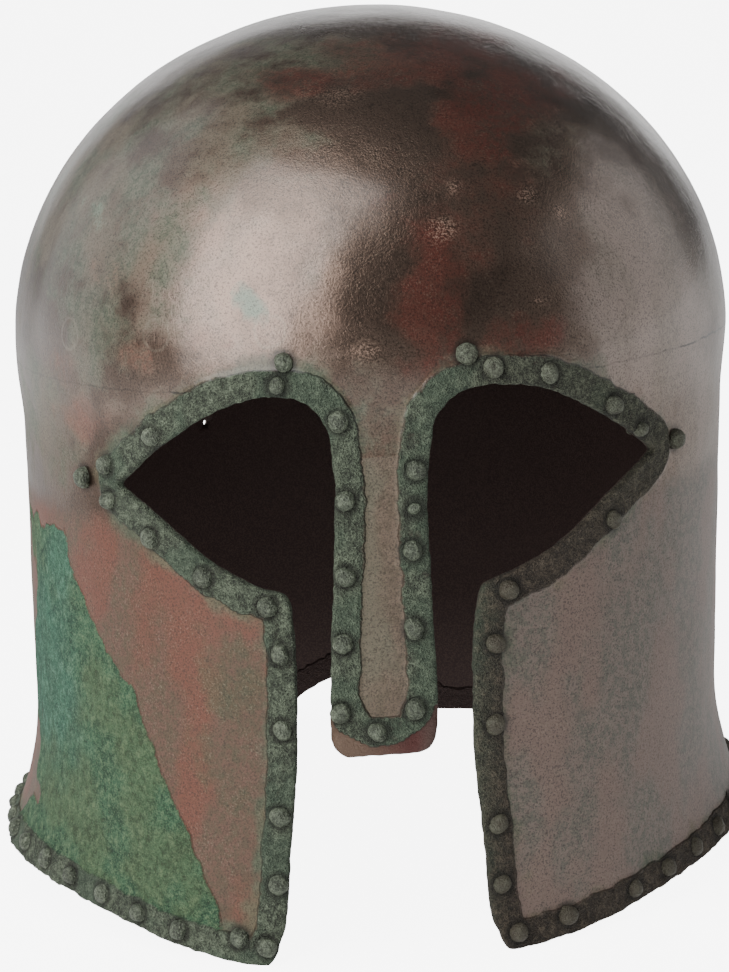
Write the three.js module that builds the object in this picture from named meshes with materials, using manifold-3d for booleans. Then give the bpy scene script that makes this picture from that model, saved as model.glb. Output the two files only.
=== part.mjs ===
// An early Corinthian helmet, hammered from one sheet of bronze, with the rivets that once held its lining.
// Millimetres, +Z up, the face toward -Y and the wearer's left cheek at +X.
// The helmet is drawn level with its ring, the soft step round the brow, at height 0. It is then racked
// sideways, as the old metal is, and tipped back until both cheek tips and the back edge stand on z = 0.
import * as THREE from 'three';
import { mergeVertices } from 'three/addons/utils/BufferGeometryUtils.js';
import Module from 'manifold-3d';

const wasm = await Module();
wasm.setup();

const { clamp, lerp, smoothstep, degToRad } = THREE.MathUtils;

// Driving sizes of the bowl and the wall.
const HALF_WIDTH = 101;
const FRONT_REACH = 118;
const BACK_REACH = 138;
const WIDEST_HEIGHT = 2;
const DOME_HEIGHT = 89.5;
const PLAN_FULLNESS = 2.2;
const WALL = 1.5;

// The ring, and the taper under it.
const RING_STEP = 1.4;
const RING_DEPTH = 20;
const TAPER = 0.02;

// The lower edge, lowest at the cheek tips and highest at the sides, and its flare. Each side of the face
// rises from its tip height to its side height between two turns away from the front, and the rivets
// that are one with the edge begin behind the cheek, at their own turn.
const EDGE = {
  right: { tip: -156.2, side: -139, tipTurn: degToRad(5), sideTurn: degToRad(80), rivetTurn: degToRad(33) },
  left: { tip: -154.8, side: -139.5, tipTurn: degToRad(10), sideTurn: degToRad(95), rivetTurn: degToRad(42) },
};
const BACK_EDGE_HEIGHT = -146.5;
const FLARE = 9.5;
const FLARE_RISE = 42;
const FLARE_START_TURN = degToRad(40);
const FLARE_FULL_TURN = degToRad(85);

// The raised border round the openings and along the lower edge.
const BORDER_WIDTH = 8;
const BORDER_RAISE = 0.7;
const BORDER_WALL = 2.4;

// The nasal bar.
const NASAL_THICKNESS = 5.5;
const NASAL_BEVEL = 2;
const NASAL_BOTTOM = -98.3;
const NASAL_CORNER = 6;
const NASAL_SLOPE = TAPER / 2;

// The old metal's lack of symmetry: how far the middle of the face and the outer corners of the eyes stand
// toward the wearer's left, and the lean of the whole lower half toward the wearer's right for each
// millimetre under the ring.
const MIDDLE_SHIFT = -1.1;
const CORNER_SHIFT = 1.9;
const CORNER_ACROSS = 72;
const RACK = 0.044;

// The rivets.
const HEAD_RADIUS = 2.9;
const HEAD_HEIGHT = 3;
const HEAD_SHOULDER = 0.82;
const SHANK_RADIUS = 1.2;
const TAIL_RADIUS = 2.2;
const TAIL_HEIGHT = 0.8;
const SEAT_GAP = 0.5;
const RIVET_SIDES = 7;
const HOLE_RADIUS = 1.75;
const HOLE_SIDES = 6;
const EDGE_RIVET_SIDES = 5;
const EDGE_RIVET_RISE = 4.5;
const EDGE_RIVET_PITCH = 14.5;
const BITE_REACH = 31;

// How much of the lowest points is worn flat where the helmet stands.
const WORN_FLAT = 0.4;

// The pin-hole in the back wall.
const PIN_HOLE = { across: -50.4, height: -43.8, radius: 0.9 };

// How finely the wall is faceted.
const MERIDIANS = 48;
const DOME_LATITUDES = [76, 62, 49, 37, 26, 16, 7];
const WALL_HEIGHTS = [WIDEST_HEIGHT, -9, -RING_DEPTH, -92];
const EDGE_RISES = [FLARE_RISE, 26, 15, BORDER_WIDTH + 0.6, BORDER_WIDTH, 0];

const BRONZE = { color: 0x5b4a3c, roughness: 0.5, metalness: 0.8 };
const CORRODED = { color: 0x4f5a4a, roughness: 0.8, metalness: 0.4 };

// ---------------------------------------------------------------- the surface

// Height of the lower edge, turn being 0 at the face and pi at the back.
function edgeHeight(turn) {
  const away = Math.abs(turn);
  const { tip, side, tipTurn, sideTurn } = turn < 0 ? EDGE.right : EDGE.left;
  const front = lerp(tip, side, smoothstep(away, tipTurn, sideTurn));
  return lerp(front, BACK_EDGE_HEIGHT, smoothstep(away, sideTurn, Math.PI));
}

// A point of a level section, which is a superellipse longer at the back than at the front.
function sectionPoint(turn, halfWidth, front, back, height) {
  const power = 2 / PLAN_FULLNESS;
  const s = Math.sin(turn);
  const c = Math.cos(turn);
  const x = halfWidth * Math.sign(s) * Math.abs(s) ** power;
  const y = -(c > 0 ? front : back) * Math.sign(c) * Math.abs(c) ** power;
  return new THREE.Vector3(x, y, height);
}

function domePoint(turn, latitude, offset) {
  const shrink = Math.cos(latitude);
  return sectionPoint(
    turn,
    (HALF_WIDTH + offset) * shrink,
    (FRONT_REACH + offset) * shrink,
    (BACK_REACH + offset) * shrink,
    WIDEST_HEIGHT + (DOME_HEIGHT + offset) * Math.sin(latitude),
  );
}

function wallPoint(turn, height, offset) {
  const inset = RING_STEP * smoothstep(-height, -WIDEST_HEIGHT, RING_DEPTH) + TAPER * Math.max(-height, 0);
  const spread = smoothstep(Math.abs(turn), FLARE_START_TURN, FLARE_FULL_TURN);
  const lift = clamp((height - edgeHeight(turn)) / FLARE_RISE, 0, 1);
  const swell = offset + FLARE * spread * (1 - lift) ** 2;
  return sectionPoint(
    turn,
    HALF_WIDTH - inset + swell,
    FRONT_REACH - inset / 2 + swell,
    BACK_REACH - inset / 2 + swell,
    height,
  );
}

function surfacePoint(turn, height, offset = 0) {
  if (height <= WIDEST_HEIGHT) return wallPoint(turn, height, offset);
  return domePoint(turn, Math.asin((height - WIDEST_HEIGHT) / DOME_HEIGHT), offset);
}

function surfaceNormal(turn, height) {
  const step = 0.01;
  const along = surfacePoint(turn + step, height).sub(surfacePoint(turn - step, height));
  const up = surfacePoint(turn, height + step).sub(surfacePoint(turn, height - step));
  return along.cross(up).normalize();
}

// The turn at which the front of the wall lies at a given distance across.
function turnAcross(across, height) {
  const widest = surfacePoint(Math.PI / 2, height).x;
  return Math.sign(across) * Math.asin((Math.abs(across) / widest) ** (PLAN_FULLNESS / 2));
}

// ---------------------------------------------------------------- solids

function toSolid(geometry) {
  const bare = geometry.index ? geometry.clone() : geometry;
  bare.deleteAttribute('normal');
  bare.deleteAttribute('uv');
  const merged = mergeVertices(bare, 1e-4);
  return new wasm.Manifold(new wasm.Mesh({
    numProp: 3,
    vertProperties: new Float32Array(merged.attributes.position.array),
    triVerts: new Uint32Array(merged.index.array),
  }));
}

function toGeometry(solid) {
  const mesh = solid.getMesh();
  const geometry = new THREE.BufferGeometry();
  geometry.setAttribute('position', new THREE.BufferAttribute(mesh.vertProperties, 3));
  geometry.setIndex(new THREE.BufferAttribute(mesh.triVerts, 1));
  return geometry;
}

// One side of the wall, as rows of points from the crown down to the edge.
function wallRows(offset, borderOffset) {
  const rows = [];
  const addRow = (pointAt) => {
    const row = [];
    for (let i = 0; i < MERIDIANS; i += 1) {
      const turn = ((i / MERIDIANS) * 2 - 1) * Math.PI;
      row.push(pointAt(turn));
    }
    rows.push(row);
  };
  for (const latitude of DOME_LATITUDES) addRow((turn) => domePoint(turn, degToRad(latitude), offset));
  for (const height of WALL_HEIGHTS) addRow((turn) => wallPoint(turn, height, offset));
  for (const rise of EDGE_RISES) {
    const rowOffset = rise > BORDER_WIDTH ? offset : borderOffset;
    addRow((turn) => wallPoint(turn, edgeHeight(turn) + rise, rowOffset));
  }
  return { crown: domePoint(0, Math.PI / 2, offset), rows };
}

// The whole bowl and wall as one closed shell between two offsets of the surface.
function shellGeometry(outer, inner, borderOuter, borderInner) {
  const positions = [];
  const index = [];
  const sides = [wallRows(outer, borderOuter), wallRows(inner, borderInner)].map((side) => {
    const first = positions.length / 3;
    positions.push(...side.crown.toArray());
    for (const row of side.rows) for (const point of row) positions.push(...point.toArray());
    const at = (r, i) => first + 1 + r * MERIDIANS + (i % MERIDIANS);
    return { crown: first, rowCount: side.rows.length, at };
  });
  sides.forEach((side, s) => {
    const face = (a, b, c) => (s === 0 ? index.push(a, b, c) : index.push(a, c, b));
    for (let i = 0; i < MERIDIANS; i += 1) {
      face(side.crown, side.at(0, i), side.at(0, i + 1));
      for (let r = 0; r + 1 < side.rowCount; r += 1) {
        face(side.at(r, i), side.at(r + 1, i), side.at(r + 1, i + 1));
        face(side.at(r, i), side.at(r + 1, i + 1), side.at(r, i + 1));
      }
    }
  });
  const [out, inn] = sides;
  const last = out.rowCount - 1;
  for (let i = 0; i < MERIDIANS; i += 1) {
    index.push(out.at(last, i), inn.at(last, i), inn.at(last, i + 1));
    index.push(out.at(last, i), inn.at(last, i + 1), out.at(last, i + 1));
  }
  const geometry = new THREE.BufferGeometry();
  geometry.setAttribute('position', new THREE.Float32BufferAttribute(positions, 3));
  geometry.setIndex(index);
  return geometry;
}

// ---------------------------------------------------------------- outlines, as [across, height]

const CHEEK_EDGE = [[46, -164], [36, -155.4], [32, -148], [29.4, -139], [25.6, -115], [23.5, -96],
  [23.5, -72], [24.3, -60], [26, -53.5]];
const EYE_LOWER_EDGE = [[26, -53.5], [36, -50.6], [48, -44.3], [60, -34.8], [72, -26]];
const EYE_UPPER_EDGE = [[72, -26], [62, -16.6], [50, -8], [40, -3], [29, -1.2], [19.5, -3], [14.4, -9],
  [12.8, -18]];
const NASAL_EDGE = [[12.8, -18], [12.2, -32], [13.3, -60], [14.4, -84], [14.4, NASAL_BOTTOM + NASAL_CORNER]];
const BORDER_PANEL_EDGE = [[0, -87], [5, -86], [4.6, -60], [4.6, -18]];
const BORDER_BROW_EDGE = [[4.6, -18], [6.5, -6], [14, 3.5], [26, 6.8], [42, 5], [58, -3.5], [80, -24.5],
  [80.5, -27]];
const BORDER_CHEEK_EDGE = [[80.5, -27], [64, -42], [50, -52.5], [34, -60.5], [31.5, -66], [31.5, -96],
  [36, -130], [41, -148], [56, -164]];

// The bite broken out of the back edge.
const BITE_EDGE = [[-32, -152], [-27, -144], [-21, -137.5], [-12, -133], [-3, -131.6], [8, -134],
  [17, -140], [24, -146], [31, -152]];

function faceShift(across) {
  return lerp(MIDDLE_SHIFT, CORNER_SHIFT, clamp(Math.abs(across) / CORNER_ACROSS, 0, 1));
}

function sidePoints(outline, side) {
  return outline.map(([across, height]) => new THREE.Vector2(side * across + faceShift(across), height));
}

// Continues a path through one smooth run of an outline, forward on the right side and backward on the left.
function follow(path, outline, side) {
  const points = sidePoints(side > 0 ? outline : [...outline].reverse(), side);
  path.lineTo(points[0].x, points[0].y);
  path.splineThru(points.slice(1));
}

// Pushes an outline through the front of the shell, or through its back.
function prism(shape, curveSegments, through) {
  const depth = 160;
  const near = 40;
  const geometry = new THREE.ExtrudeGeometry(shape, { depth, steps: 1, bevelEnabled: false, curveSegments });
  geometry.rotateX(Math.PI / 2);
  geometry.translate(0, through === 'front' ? -near : near + depth, 0);
  return toSolid(geometry);
}

function openingShape() {
  const shape = new THREE.Shape();
  const edges = [CHEEK_EDGE, EYE_LOWER_EDGE, EYE_UPPER_EDGE, NASAL_EDGE];
  const start = sidePoints(CHEEK_EDGE, 1)[0];
  shape.moveTo(start.x, start.y);
  for (const edge of edges) follow(shape, edge, 1);
  const [right] = sidePoints([NASAL_EDGE.at(-1)], 1);
  const [left] = sidePoints([NASAL_EDGE.at(-1)], -1);
  shape.absarc(right.x - NASAL_CORNER, right.y, NASAL_CORNER, 0, -Math.PI / 2, true);
  shape.absarc(left.x + NASAL_CORNER, left.y, NASAL_CORNER, -Math.PI / 2, -Math.PI, true);
  for (const edge of edges.reverse()) follow(shape, edge, -1);
  return shape;
}

function biteShape() {
  const shape = new THREE.Shape();
  const points = BITE_EDGE.map(([across, height]) => new THREE.Vector2(across, height));
  shape.moveTo(points[0].x, points[0].y);
  shape.splineThru(points.slice(1));
  return shape;
}

function borderShape() {
  const shape = new THREE.Shape();
  const edges = [BORDER_PANEL_EDGE, BORDER_BROW_EDGE, BORDER_CHEEK_EDGE];
  const start = sidePoints(BORDER_PANEL_EDGE, 1)[0];
  shape.moveTo(start.x, start.y);
  for (const edge of edges) follow(shape, edge, 1);
  for (const edge of edges.reverse()) follow(shape, edge, -1);
  return shape;
}

// How far forward the nasal's flat front stands at a height.
function nasalFront(height) {
  return surfacePoint(0, -RING_DEPTH, BORDER_RAISE).y - NASAL_SLOPE * (height + RING_DEPTH);
}

// The nasal's own outline, drawn inside its bevel.
function nasalBar() {
  const shape = new THREE.Shape();
  const inset = NASAL_EDGE.map(([across, height]) => [across - NASAL_BEVEL, height]);
  const corner = NASAL_CORNER - NASAL_BEVEL;
  const start = sidePoints(inset, 1)[0];
  shape.moveTo(start.x, start.y);
  follow(shape, inset, 1);
  const [right] = sidePoints([inset.at(-1)], 1);
  const [left] = sidePoints([inset.at(-1)], -1);
  shape.absarc(right.x - corner, right.y, corner, 0, -Math.PI / 2, true);
  shape.absarc(left.x + corner, left.y, corner, -Math.PI / 2, -Math.PI, true);
  follow(shape, inset, -1);
  const geometry = new THREE.ExtrudeGeometry(shape, {
    depth: NASAL_THICKNESS - 2 * NASAL_BEVEL,
    steps: 1,
    curveSegments: 2,
    bevelThickness: NASAL_BEVEL,
    bevelSize: NASAL_BEVEL,
    bevelSegments: 1,
  });
  geometry.rotateX(Math.PI / 2 + Math.atan(NASAL_SLOPE));
  geometry.translate(0, nasalFront(0) + NASAL_THICKNESS - NASAL_BEVEL, 0);
  return toSolid(geometry);
}

// ---------------------------------------------------------------- rivets

// Places of the rivets round the face, as [across, height], by the edge that they follow.
const RIVET_PLACES = {
  right_eye: [[-11.4, -8], [-25.1, 8], [-27.1, 2], [-60.1, -12], [-72.7, -21], [-79.1, -25.5], [-72.1, -30.5],
    [-61.1, -39.5], [-47.1, -49], [-30.6, -56.7]],
  right_cheek: [[-27.3, -69.5], [-27.1, -89.7], [-28.6, -113.3], [-30.7, -131.9], [-35.3, -149],
    [-43.5, -147]],
  nasal: [[-10, -29], [-10.1, -49], [-11.1, -67], [-11.9, -85.4], [-2.3, -91], [7.6, -85.5], [7.6, -64],
    [7.3, -43], [7.9, -32], [8.5, -22]],
  left_eye: [[22.4, 7.5], [28.9, 3.3], [43.5, 0.3], [61.2, -11.1], [69.2, -19.5], [79.9, -25], [61.1, -42],
    [32.5, -56.1]],
  left_cheek: [[28.9, -70], [28.7, -91.8], [30.2, -119], [32.7, -135.5], [37.9, -149.4], [52.9, -147.5]],
};

function lathedRivet(profile, sides) {
  const points = profile.map(([radius, height]) => new THREE.Vector2(radius, height));
  return new THREE.LatheGeometry(points, sides).rotateX(Math.PI / 2);
}

// A domed head outside, a shank through the metal, and a clenched tail inside.
function rivetGeometry(thickness) {
  const under = BORDER_RAISE - thickness - SEAT_GAP;
  return lathedRivet([
    [0, under - TAIL_HEIGHT],
    [TAIL_RADIUS, under - TAIL_HEIGHT],
    [SHANK_RADIUS, under],
    [SHANK_RADIUS, BORDER_RAISE + SEAT_GAP],
    [HEAD_RADIUS, BORDER_RAISE + SEAT_GAP],
    [HEAD_RADIUS * HEAD_SHOULDER, HEAD_HEIGHT * 0.7],
    [0, HEAD_HEIGHT],
  ], RIVET_SIDES);
}

function rivetHole() {
  const deep = BORDER_WALL + NASAL_THICKNESS;
  return lathedRivet([
    [0, -deep],
    [HOLE_RADIUS, -deep],
    [HOLE_RADIUS, HEAD_HEIGHT],
    [0, HEAD_HEIGHT],
  ], HOLE_SIDES);
}

function edgeRivetHead() {
  return lathedRivet([
    [0, -WALL],
    [HEAD_RADIUS, -WALL / 2],
    [HEAD_RADIUS * HEAD_SHOULDER, HEAD_HEIGHT * 0.7],
    [0, HEAD_HEIGHT],
  ], EDGE_RIVET_SIDES);
}

// A frame at a point, its own +Z pointing straight out of the metal.
function frameAt(point, normal) {
  const outward = new THREE.Quaternion().setFromUnitVectors(new THREE.Vector3(0, 0, 1), normal);
  return new THREE.Matrix4().compose(point, outward, new THREE.Vector3(1, 1, 1));
}

function wallSeat(turn, height) {
  return frameAt(surfacePoint(turn, height), surfaceNormal(turn, height));
}

// The seat of a rivet of the face, on the flat nasal or on the curved wall.
function faceSeat(edge, across, height) {
  if (edge !== 'nasal') return wallSeat(turnAcross(across, height), height);
  const normal = new THREE.Vector3(0, -1, -NASAL_SLOPE).normalize();
  return frameAt(new THREE.Vector3(across, nasalFront(height) + BORDER_RAISE, height), normal);
}

// Turns of the rivets along the lower edge, from behind each cheek to the bite in the back.
function edgeRivetTurns() {
  const turns = [];
  const step = degToRad(0.5);
  for (const [side, { rivetTurn }] of [[-1, EDGE.right], [1, EDGE.left]]) {
    let walked = EDGE_RIVET_PITCH;
    let previous = null;
    for (let away = rivetTurn; away < Math.PI; away += step) {
      const turn = side * away;
      const point = wallPoint(turn, edgeHeight(turn) + EDGE_RIVET_RISE, 0);
      walked += previous ? point.distanceTo(previous) : 0;
      previous = point;
      const bitten = away > Math.PI / 2 && Math.abs(point.x) < BITE_REACH;
      if (walked >= EDGE_RIVET_PITCH && !bitten) {
        turns.push(turn);
        walked = 0;
      }
    }
  }
  return turns;
}

// ---------------------------------------------------------------- standing on the floor

// Leans the metal sideways under the ring.
function rack(point) {
  point.x += RACK * Math.min(point.z, 0);
  return point;
}

function movePoints(geometry, move) {
  const position = geometry.attributes.position;
  for (let i = 0; i < position.count; i += 1) {
    const point = move(new THREE.Vector3().fromBufferAttribute(position, i));
    position.setXYZ(i, point.x, point.y, point.z);
  }
  return geometry;
}

// The turn about X that sets the lowest point of the face level with the lowest point of the back.
function standingTurn(geometry) {
  const position = geometry.attributes.position;
  let turn = new THREE.Quaternion();
  let angle = 0;
  for (let pass = 0; pass < 3; pass += 1) {
    const lowest = { face: new THREE.Vector3(), back: new THREE.Vector3() };
    for (let i = 0; i < position.count; i += 1) {
      const point = new THREE.Vector3().fromBufferAttribute(position, i).applyQuaternion(turn);
      const end = point.y < 0 ? 'face' : 'back';
      if (point.z < lowest[end].z) lowest[end] = point;
    }
    angle -= Math.atan2(lowest.back.z - lowest.face.z, lowest.back.y - lowest.face.y);
    turn = new THREE.Quaternion().setFromAxisAngle(new THREE.Vector3(1, 0, 0), angle);
  }
  return turn;
}

// Wears the cheek tips and the back edge flat where they meet the floor.
function wearFlat(geometry) {
  geometry.computeBoundingBox();
  const floor = new THREE.BoxGeometry(4 * HALF_WIDTH, 4 * HALF_WIDTH, HALF_WIDTH);
  floor.translate(0, 0, geometry.boundingBox.min.z + WORN_FLAT - HALF_WIDTH / 2);
  return toGeometry(toSolid(geometry).subtract(toSolid(floor)));
}

// ---------------------------------------------------------------- the assembly

const helmet = new THREE.Group();

function addPiece(name, geometry, look) {
  const mesh = new THREE.Mesh(geometry, new THREE.MeshStandardMaterial(look));
  mesh.name = name;
  helmet.add(mesh);
  return mesh;
}

function helmetShell() {
  const plain = toSolid(shellGeometry(0, -WALL, BORDER_RAISE, -WALL));
  const thick = toSolid(shellGeometry(BORDER_RAISE, -BORDER_WALL, BORDER_RAISE, -BORDER_WALL));
  let shell = plain.add(thick.intersect(prism(borderShape(), 1, 'front')));
  shell = shell.subtract(prism(openingShape(), 2, 'front')).add(nasalBar());
  shell = shell.subtract(prism(biteShape(), 1, 'back'));
  for (const turn of edgeRivetTurns()) {
    const head = edgeRivetHead().applyMatrix4(wallSeat(turn, edgeHeight(turn) + EDGE_RIVET_RISE));
    shell = shell.add(toSolid(head));
  }
  for (const [edge, places] of Object.entries(RIVET_PLACES)) {
    for (const [across, height] of places) {
      shell = shell.subtract(toSolid(rivetHole().applyMatrix4(faceSeat(edge, across, height))));
    }
  }
  const pin = new THREE.CylinderGeometry(PIN_HOLE.radius, PIN_HOLE.radius, 2 * BACK_REACH, EDGE_RIVET_SIDES);
  pin.translate(PIN_HOLE.across, BACK_REACH, PIN_HOLE.height);
  return shell.subtract(toSolid(pin));
}

const shell = movePoints(toGeometry(helmetShell()), rack);
const standing = standingTurn(shell);
addPiece('helmet_shell', wearFlat(movePoints(shell, (point) => point.applyQuaternion(standing))), BRONZE);

for (const [edge, places] of Object.entries(RIVET_PLACES)) {
  places.forEach(([across, height], i) => {
    const thickness = edge === 'nasal' ? NASAL_THICKNESS : BORDER_WALL + BORDER_RAISE;
    const rivet = addPiece(`rivet_${edge}_${i + 1}`, rivetGeometry(thickness), CORRODED);
    const place = new THREE.Vector3();
    faceSeat(edge, across, height).decompose(place, rivet.quaternion, new THREE.Vector3());
    rivet.position.copy(rack(place).applyQuaternion(standing));
    rivet.quaternion.premultiply(standing);
  });
}

// The whole helmet stands on z = 0 with the middle of its box over the origin.
helmet.updateMatrixWorld(true);
const box = new THREE.Box3().setFromObject(helmet, true);
const middle = box.getCenter(new THREE.Vector3());
helmet.position.set(-middle.x, -middle.y, -box.min.z);

export default helmet;
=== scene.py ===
"""A Corinthian helmet hammered from one sheet of bronze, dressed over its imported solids.

The bowl, wall and nasal are one closed skin, drawn level with the ring in millimetres and then seated on
the frame. Rivets are set by Geometry Nodes. All finishes are procedural.
"""

import logging
import math
from dataclasses import dataclass, field
from enum import Enum
from typing import Iterable, Sequence, Union

import bpy
import numpy as np
from mathutils import Matrix, Vector, noise
from mathutils.geometry import delaunay_2d_cdt
from mathutils.kdtree import KDTree


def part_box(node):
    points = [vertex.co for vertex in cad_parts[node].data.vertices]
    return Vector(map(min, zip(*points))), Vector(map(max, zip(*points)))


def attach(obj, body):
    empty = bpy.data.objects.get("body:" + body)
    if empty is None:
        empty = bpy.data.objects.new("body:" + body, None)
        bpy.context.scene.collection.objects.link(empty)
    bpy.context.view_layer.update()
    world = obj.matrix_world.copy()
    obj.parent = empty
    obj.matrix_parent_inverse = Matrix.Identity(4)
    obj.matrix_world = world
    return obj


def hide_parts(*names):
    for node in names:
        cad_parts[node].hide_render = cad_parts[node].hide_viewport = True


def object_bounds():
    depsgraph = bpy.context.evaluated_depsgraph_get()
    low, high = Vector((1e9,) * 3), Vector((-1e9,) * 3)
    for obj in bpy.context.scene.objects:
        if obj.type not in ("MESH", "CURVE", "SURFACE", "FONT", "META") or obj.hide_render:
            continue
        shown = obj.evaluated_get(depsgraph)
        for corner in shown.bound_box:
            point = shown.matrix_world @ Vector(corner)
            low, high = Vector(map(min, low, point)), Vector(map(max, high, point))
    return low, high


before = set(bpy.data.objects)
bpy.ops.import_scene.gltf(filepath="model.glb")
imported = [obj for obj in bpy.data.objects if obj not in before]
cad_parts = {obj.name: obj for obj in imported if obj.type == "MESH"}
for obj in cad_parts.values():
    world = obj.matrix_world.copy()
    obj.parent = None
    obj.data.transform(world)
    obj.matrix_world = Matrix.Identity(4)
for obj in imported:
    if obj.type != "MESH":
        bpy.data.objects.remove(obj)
CAD_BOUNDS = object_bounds()

LOG = logging.getLogger("helmet")
MM = 0.001
WELD_REACH = 1e-5

Points = Sequence[tuple[float, float]]
Socket = bpy.types.NodeSocket
Value = Union[float, tuple[float, ...], Socket]
Colour = tuple[float, float, float]


class Side(Enum):
    """The wearer's sides, by the sign of their X."""

    RIGHT = -1
    LEFT = 1


class Slot(Enum):
    """The record's material slots."""

    SHEET = "bronze_sheet"
    RIVET = "corroded_rivet"


# ---------------------------------------------------------------- small sums


def smoothstep(x: np.ndarray, low: float, high: float) -> np.ndarray:
    """Eases from 0 at low to 1 at high.

    Args:
        x: Where to look.
        low: Where the ease begins.
        high: Where it ends.

    Returns:
        The eased share.
    """
    t = np.clip((np.asarray(x, float) - low) / (high - low), 0.0, 1.0)
    return t * t * (3 - 2 * t)


def signed_power(x: np.ndarray, power: float) -> np.ndarray:
    """Raises the size of x to a power and keeps its sign."""
    return np.sign(x) * np.abs(x) ** power


def cloud(points: np.ndarray, size: float, seed: int, octaves: int = 3) -> np.ndarray:
    """Smooth random heights over space.

    Args:
        points: Places in millimetres.
        size: Width of the largest lumps in millimetres.
        seed: Which random field to read.
        octaves: How many finer fields are added.

    Returns:
        A height for each point, mostly from -1 to 1.
    """
    shift = np.array([17.31, 5.77, 9.13]) * (seed + 1)
    scaled = np.asarray(points, float) / size + shift
    return np.array([noise.fractal(Vector(p), 1.0, 2.0, octaves) for p in scaled])


def spline(points: Points, steps: int = 24) -> np.ndarray:
    """A smooth line through all the points.

    Args:
        points: The points, as (across, height).
        steps: Pieces between each two points.

    Returns:
        The line's points, ends included.
    """
    knots = np.array([points[0], *points, points[-1]], float)
    t = np.linspace(0, 1, steps, endpoint=False)[:, None]
    runs = []
    for a, b, c, d in zip(knots, knots[1:], knots[2:], knots[3:]):
        pull_b, pull_c = (c - a) / 2, (d - b) / 2
        runs.append(
            (2 * b - 2 * c + pull_b + pull_c) * t**3
            + (-3 * b + 3 * c - 2 * pull_b - pull_c) * t**2
            + pull_b * t
            + b
        )
    return np.vstack([*runs, knots[-1][None]])


def walked(line: np.ndarray) -> np.ndarray:
    """Distance walked along a line at each of its points."""
    return np.concatenate([[0.0], np.cumsum(np.linalg.norm(np.diff(line, axis=0), axis=1))])


def resample(line: np.ndarray, pitch: float) -> np.ndarray:
    """Sets points along a line at an even pitch, with both ends kept."""
    along = walked(line)
    count = max(2, int(round(along[-1] / pitch)) + 1)
    places = np.linspace(0, along[-1], count)
    return np.column_stack([np.interp(places, along, line[:, k]) for k in range(line.shape[1])])


def arc(centre: tuple[float, float], radius: float, start: float, end: float) -> np.ndarray:
    """A quarter or so of a circle, its angles in degrees."""
    angles = np.radians(np.linspace(start, end, 13))
    return np.column_stack([centre[0] + radius * np.cos(angles), centre[1] + radius * np.sin(angles)])


# ---------------------------------------------------------------- the hammered form


@dataclass(frozen=True)
class LowerEdge:
    """One side of the lower edge: heights at the tip and the side, and the turns between them, in degrees."""

    tip: float
    side: float
    tip_turn: float
    side_turn: float
    rivet_turn: float


@dataclass(frozen=True)
class Form:
    """The surface of the bowl and wall, level with the ring, in millimetres.

    A turn is 0 at the face, negative toward the wearer's right, and pi at the back.
    """

    half_width: float = 101.0
    front_reach: float = 118.0
    back_reach: float = 138.0
    widest_height: float = 2.0
    dome_height: float = 89.5
    fullness: float = 2.2
    ring_step: float = 1.4
    ring_depth: float = 20.0
    taper: float = 0.02
    flare: float = 9.5
    flare_rise: float = 42.0
    flare_start_turn: float = 40.0
    flare_full_turn: float = 85.0
    back_edge: float = -146.5
    rack: float = 0.044
    tip_back: float = 1.8967
    dome_arc: float = 100.0
    right: LowerEdge = LowerEdge(-156.2, -139.0, 5.0, 80.0, 33.0)
    left: LowerEdge = LowerEdge(-154.8, -139.5, 10.0, 95.0, 42.0)

    def edge_height(self, turn: np.ndarray) -> np.ndarray:
        """Height of the lower edge at each turn."""
        away = np.degrees(np.abs(turn))

        def one_side(edge: LowerEdge) -> np.ndarray:
            """Height of the edge on one side."""
            front = edge.tip + (edge.side - edge.tip) * smoothstep(away, edge.tip_turn, edge.side_turn)
            return front + (self.back_edge - front) * smoothstep(away, edge.side_turn, 180.0)

        return np.where(np.asarray(turn) < 0, one_side(self.right), one_side(self.left))

    def section(self, turn: np.ndarray, half: np.ndarray, front: np.ndarray, back: np.ndarray) -> tuple:
        """X and Y of a level section, a superellipse longer at the back than at the front."""
        power = 2 / self.fullness
        c = np.cos(turn)
        reach = np.where(c > 0, front, back)
        return half * signed_power(np.sin(turn), power), -reach * signed_power(c, power)

    def wall(self, turn: np.ndarray, height: np.ndarray) -> np.ndarray:
        """Points of the wall under the widest level."""
        inset = self.ring_step * smoothstep(-height, -self.widest_height, self.ring_depth)
        inset = inset + self.taper * np.maximum(-height, 0)
        spread = smoothstep(np.degrees(np.abs(turn)), self.flare_start_turn, self.flare_full_turn)
        lift = np.clip((height - self.edge_height(turn)) / self.flare_rise, 0, 1)
        swell = self.flare * spread * (1 - lift) ** 2
        x, y = self.section(
            turn,
            self.half_width - inset + swell,
            self.front_reach - inset / 2 + swell,
            self.back_reach - inset / 2 + swell,
        )
        return np.column_stack([x, y, height])

    def dome(self, turn: np.ndarray, latitude: np.ndarray) -> np.ndarray:
        """Points of the bowl over the widest level."""
        shrink = np.cos(latitude)
        x, y = self.section(
            turn, self.half_width * shrink, self.front_reach * shrink, self.back_reach * shrink
        )
        return np.column_stack([x, y, self.widest_height + self.dome_height * np.sin(latitude)])

    def turn_across(self, across: np.ndarray, height: np.ndarray, behind: bool = False) -> np.ndarray:
        """The turn at which the front, or the back, of the wall lies at a distance across."""
        across = np.asarray(across, float)
        height = np.broadcast_to(np.asarray(height, float), across.shape)
        low = np.minimum(height, self.widest_height)
        latitude = np.arcsin(np.clip((height - self.widest_height) / self.dome_height, 0, 1))
        widest = self.wall(np.full(across.shape, math.pi / 2), low)[:, 0] * np.cos(latitude)
        turn = np.arcsin(np.clip(np.abs(across) / widest, 0, 1) ** (self.fullness / 2))
        return np.sign(across) * (math.pi - turn if behind else turn)


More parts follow.
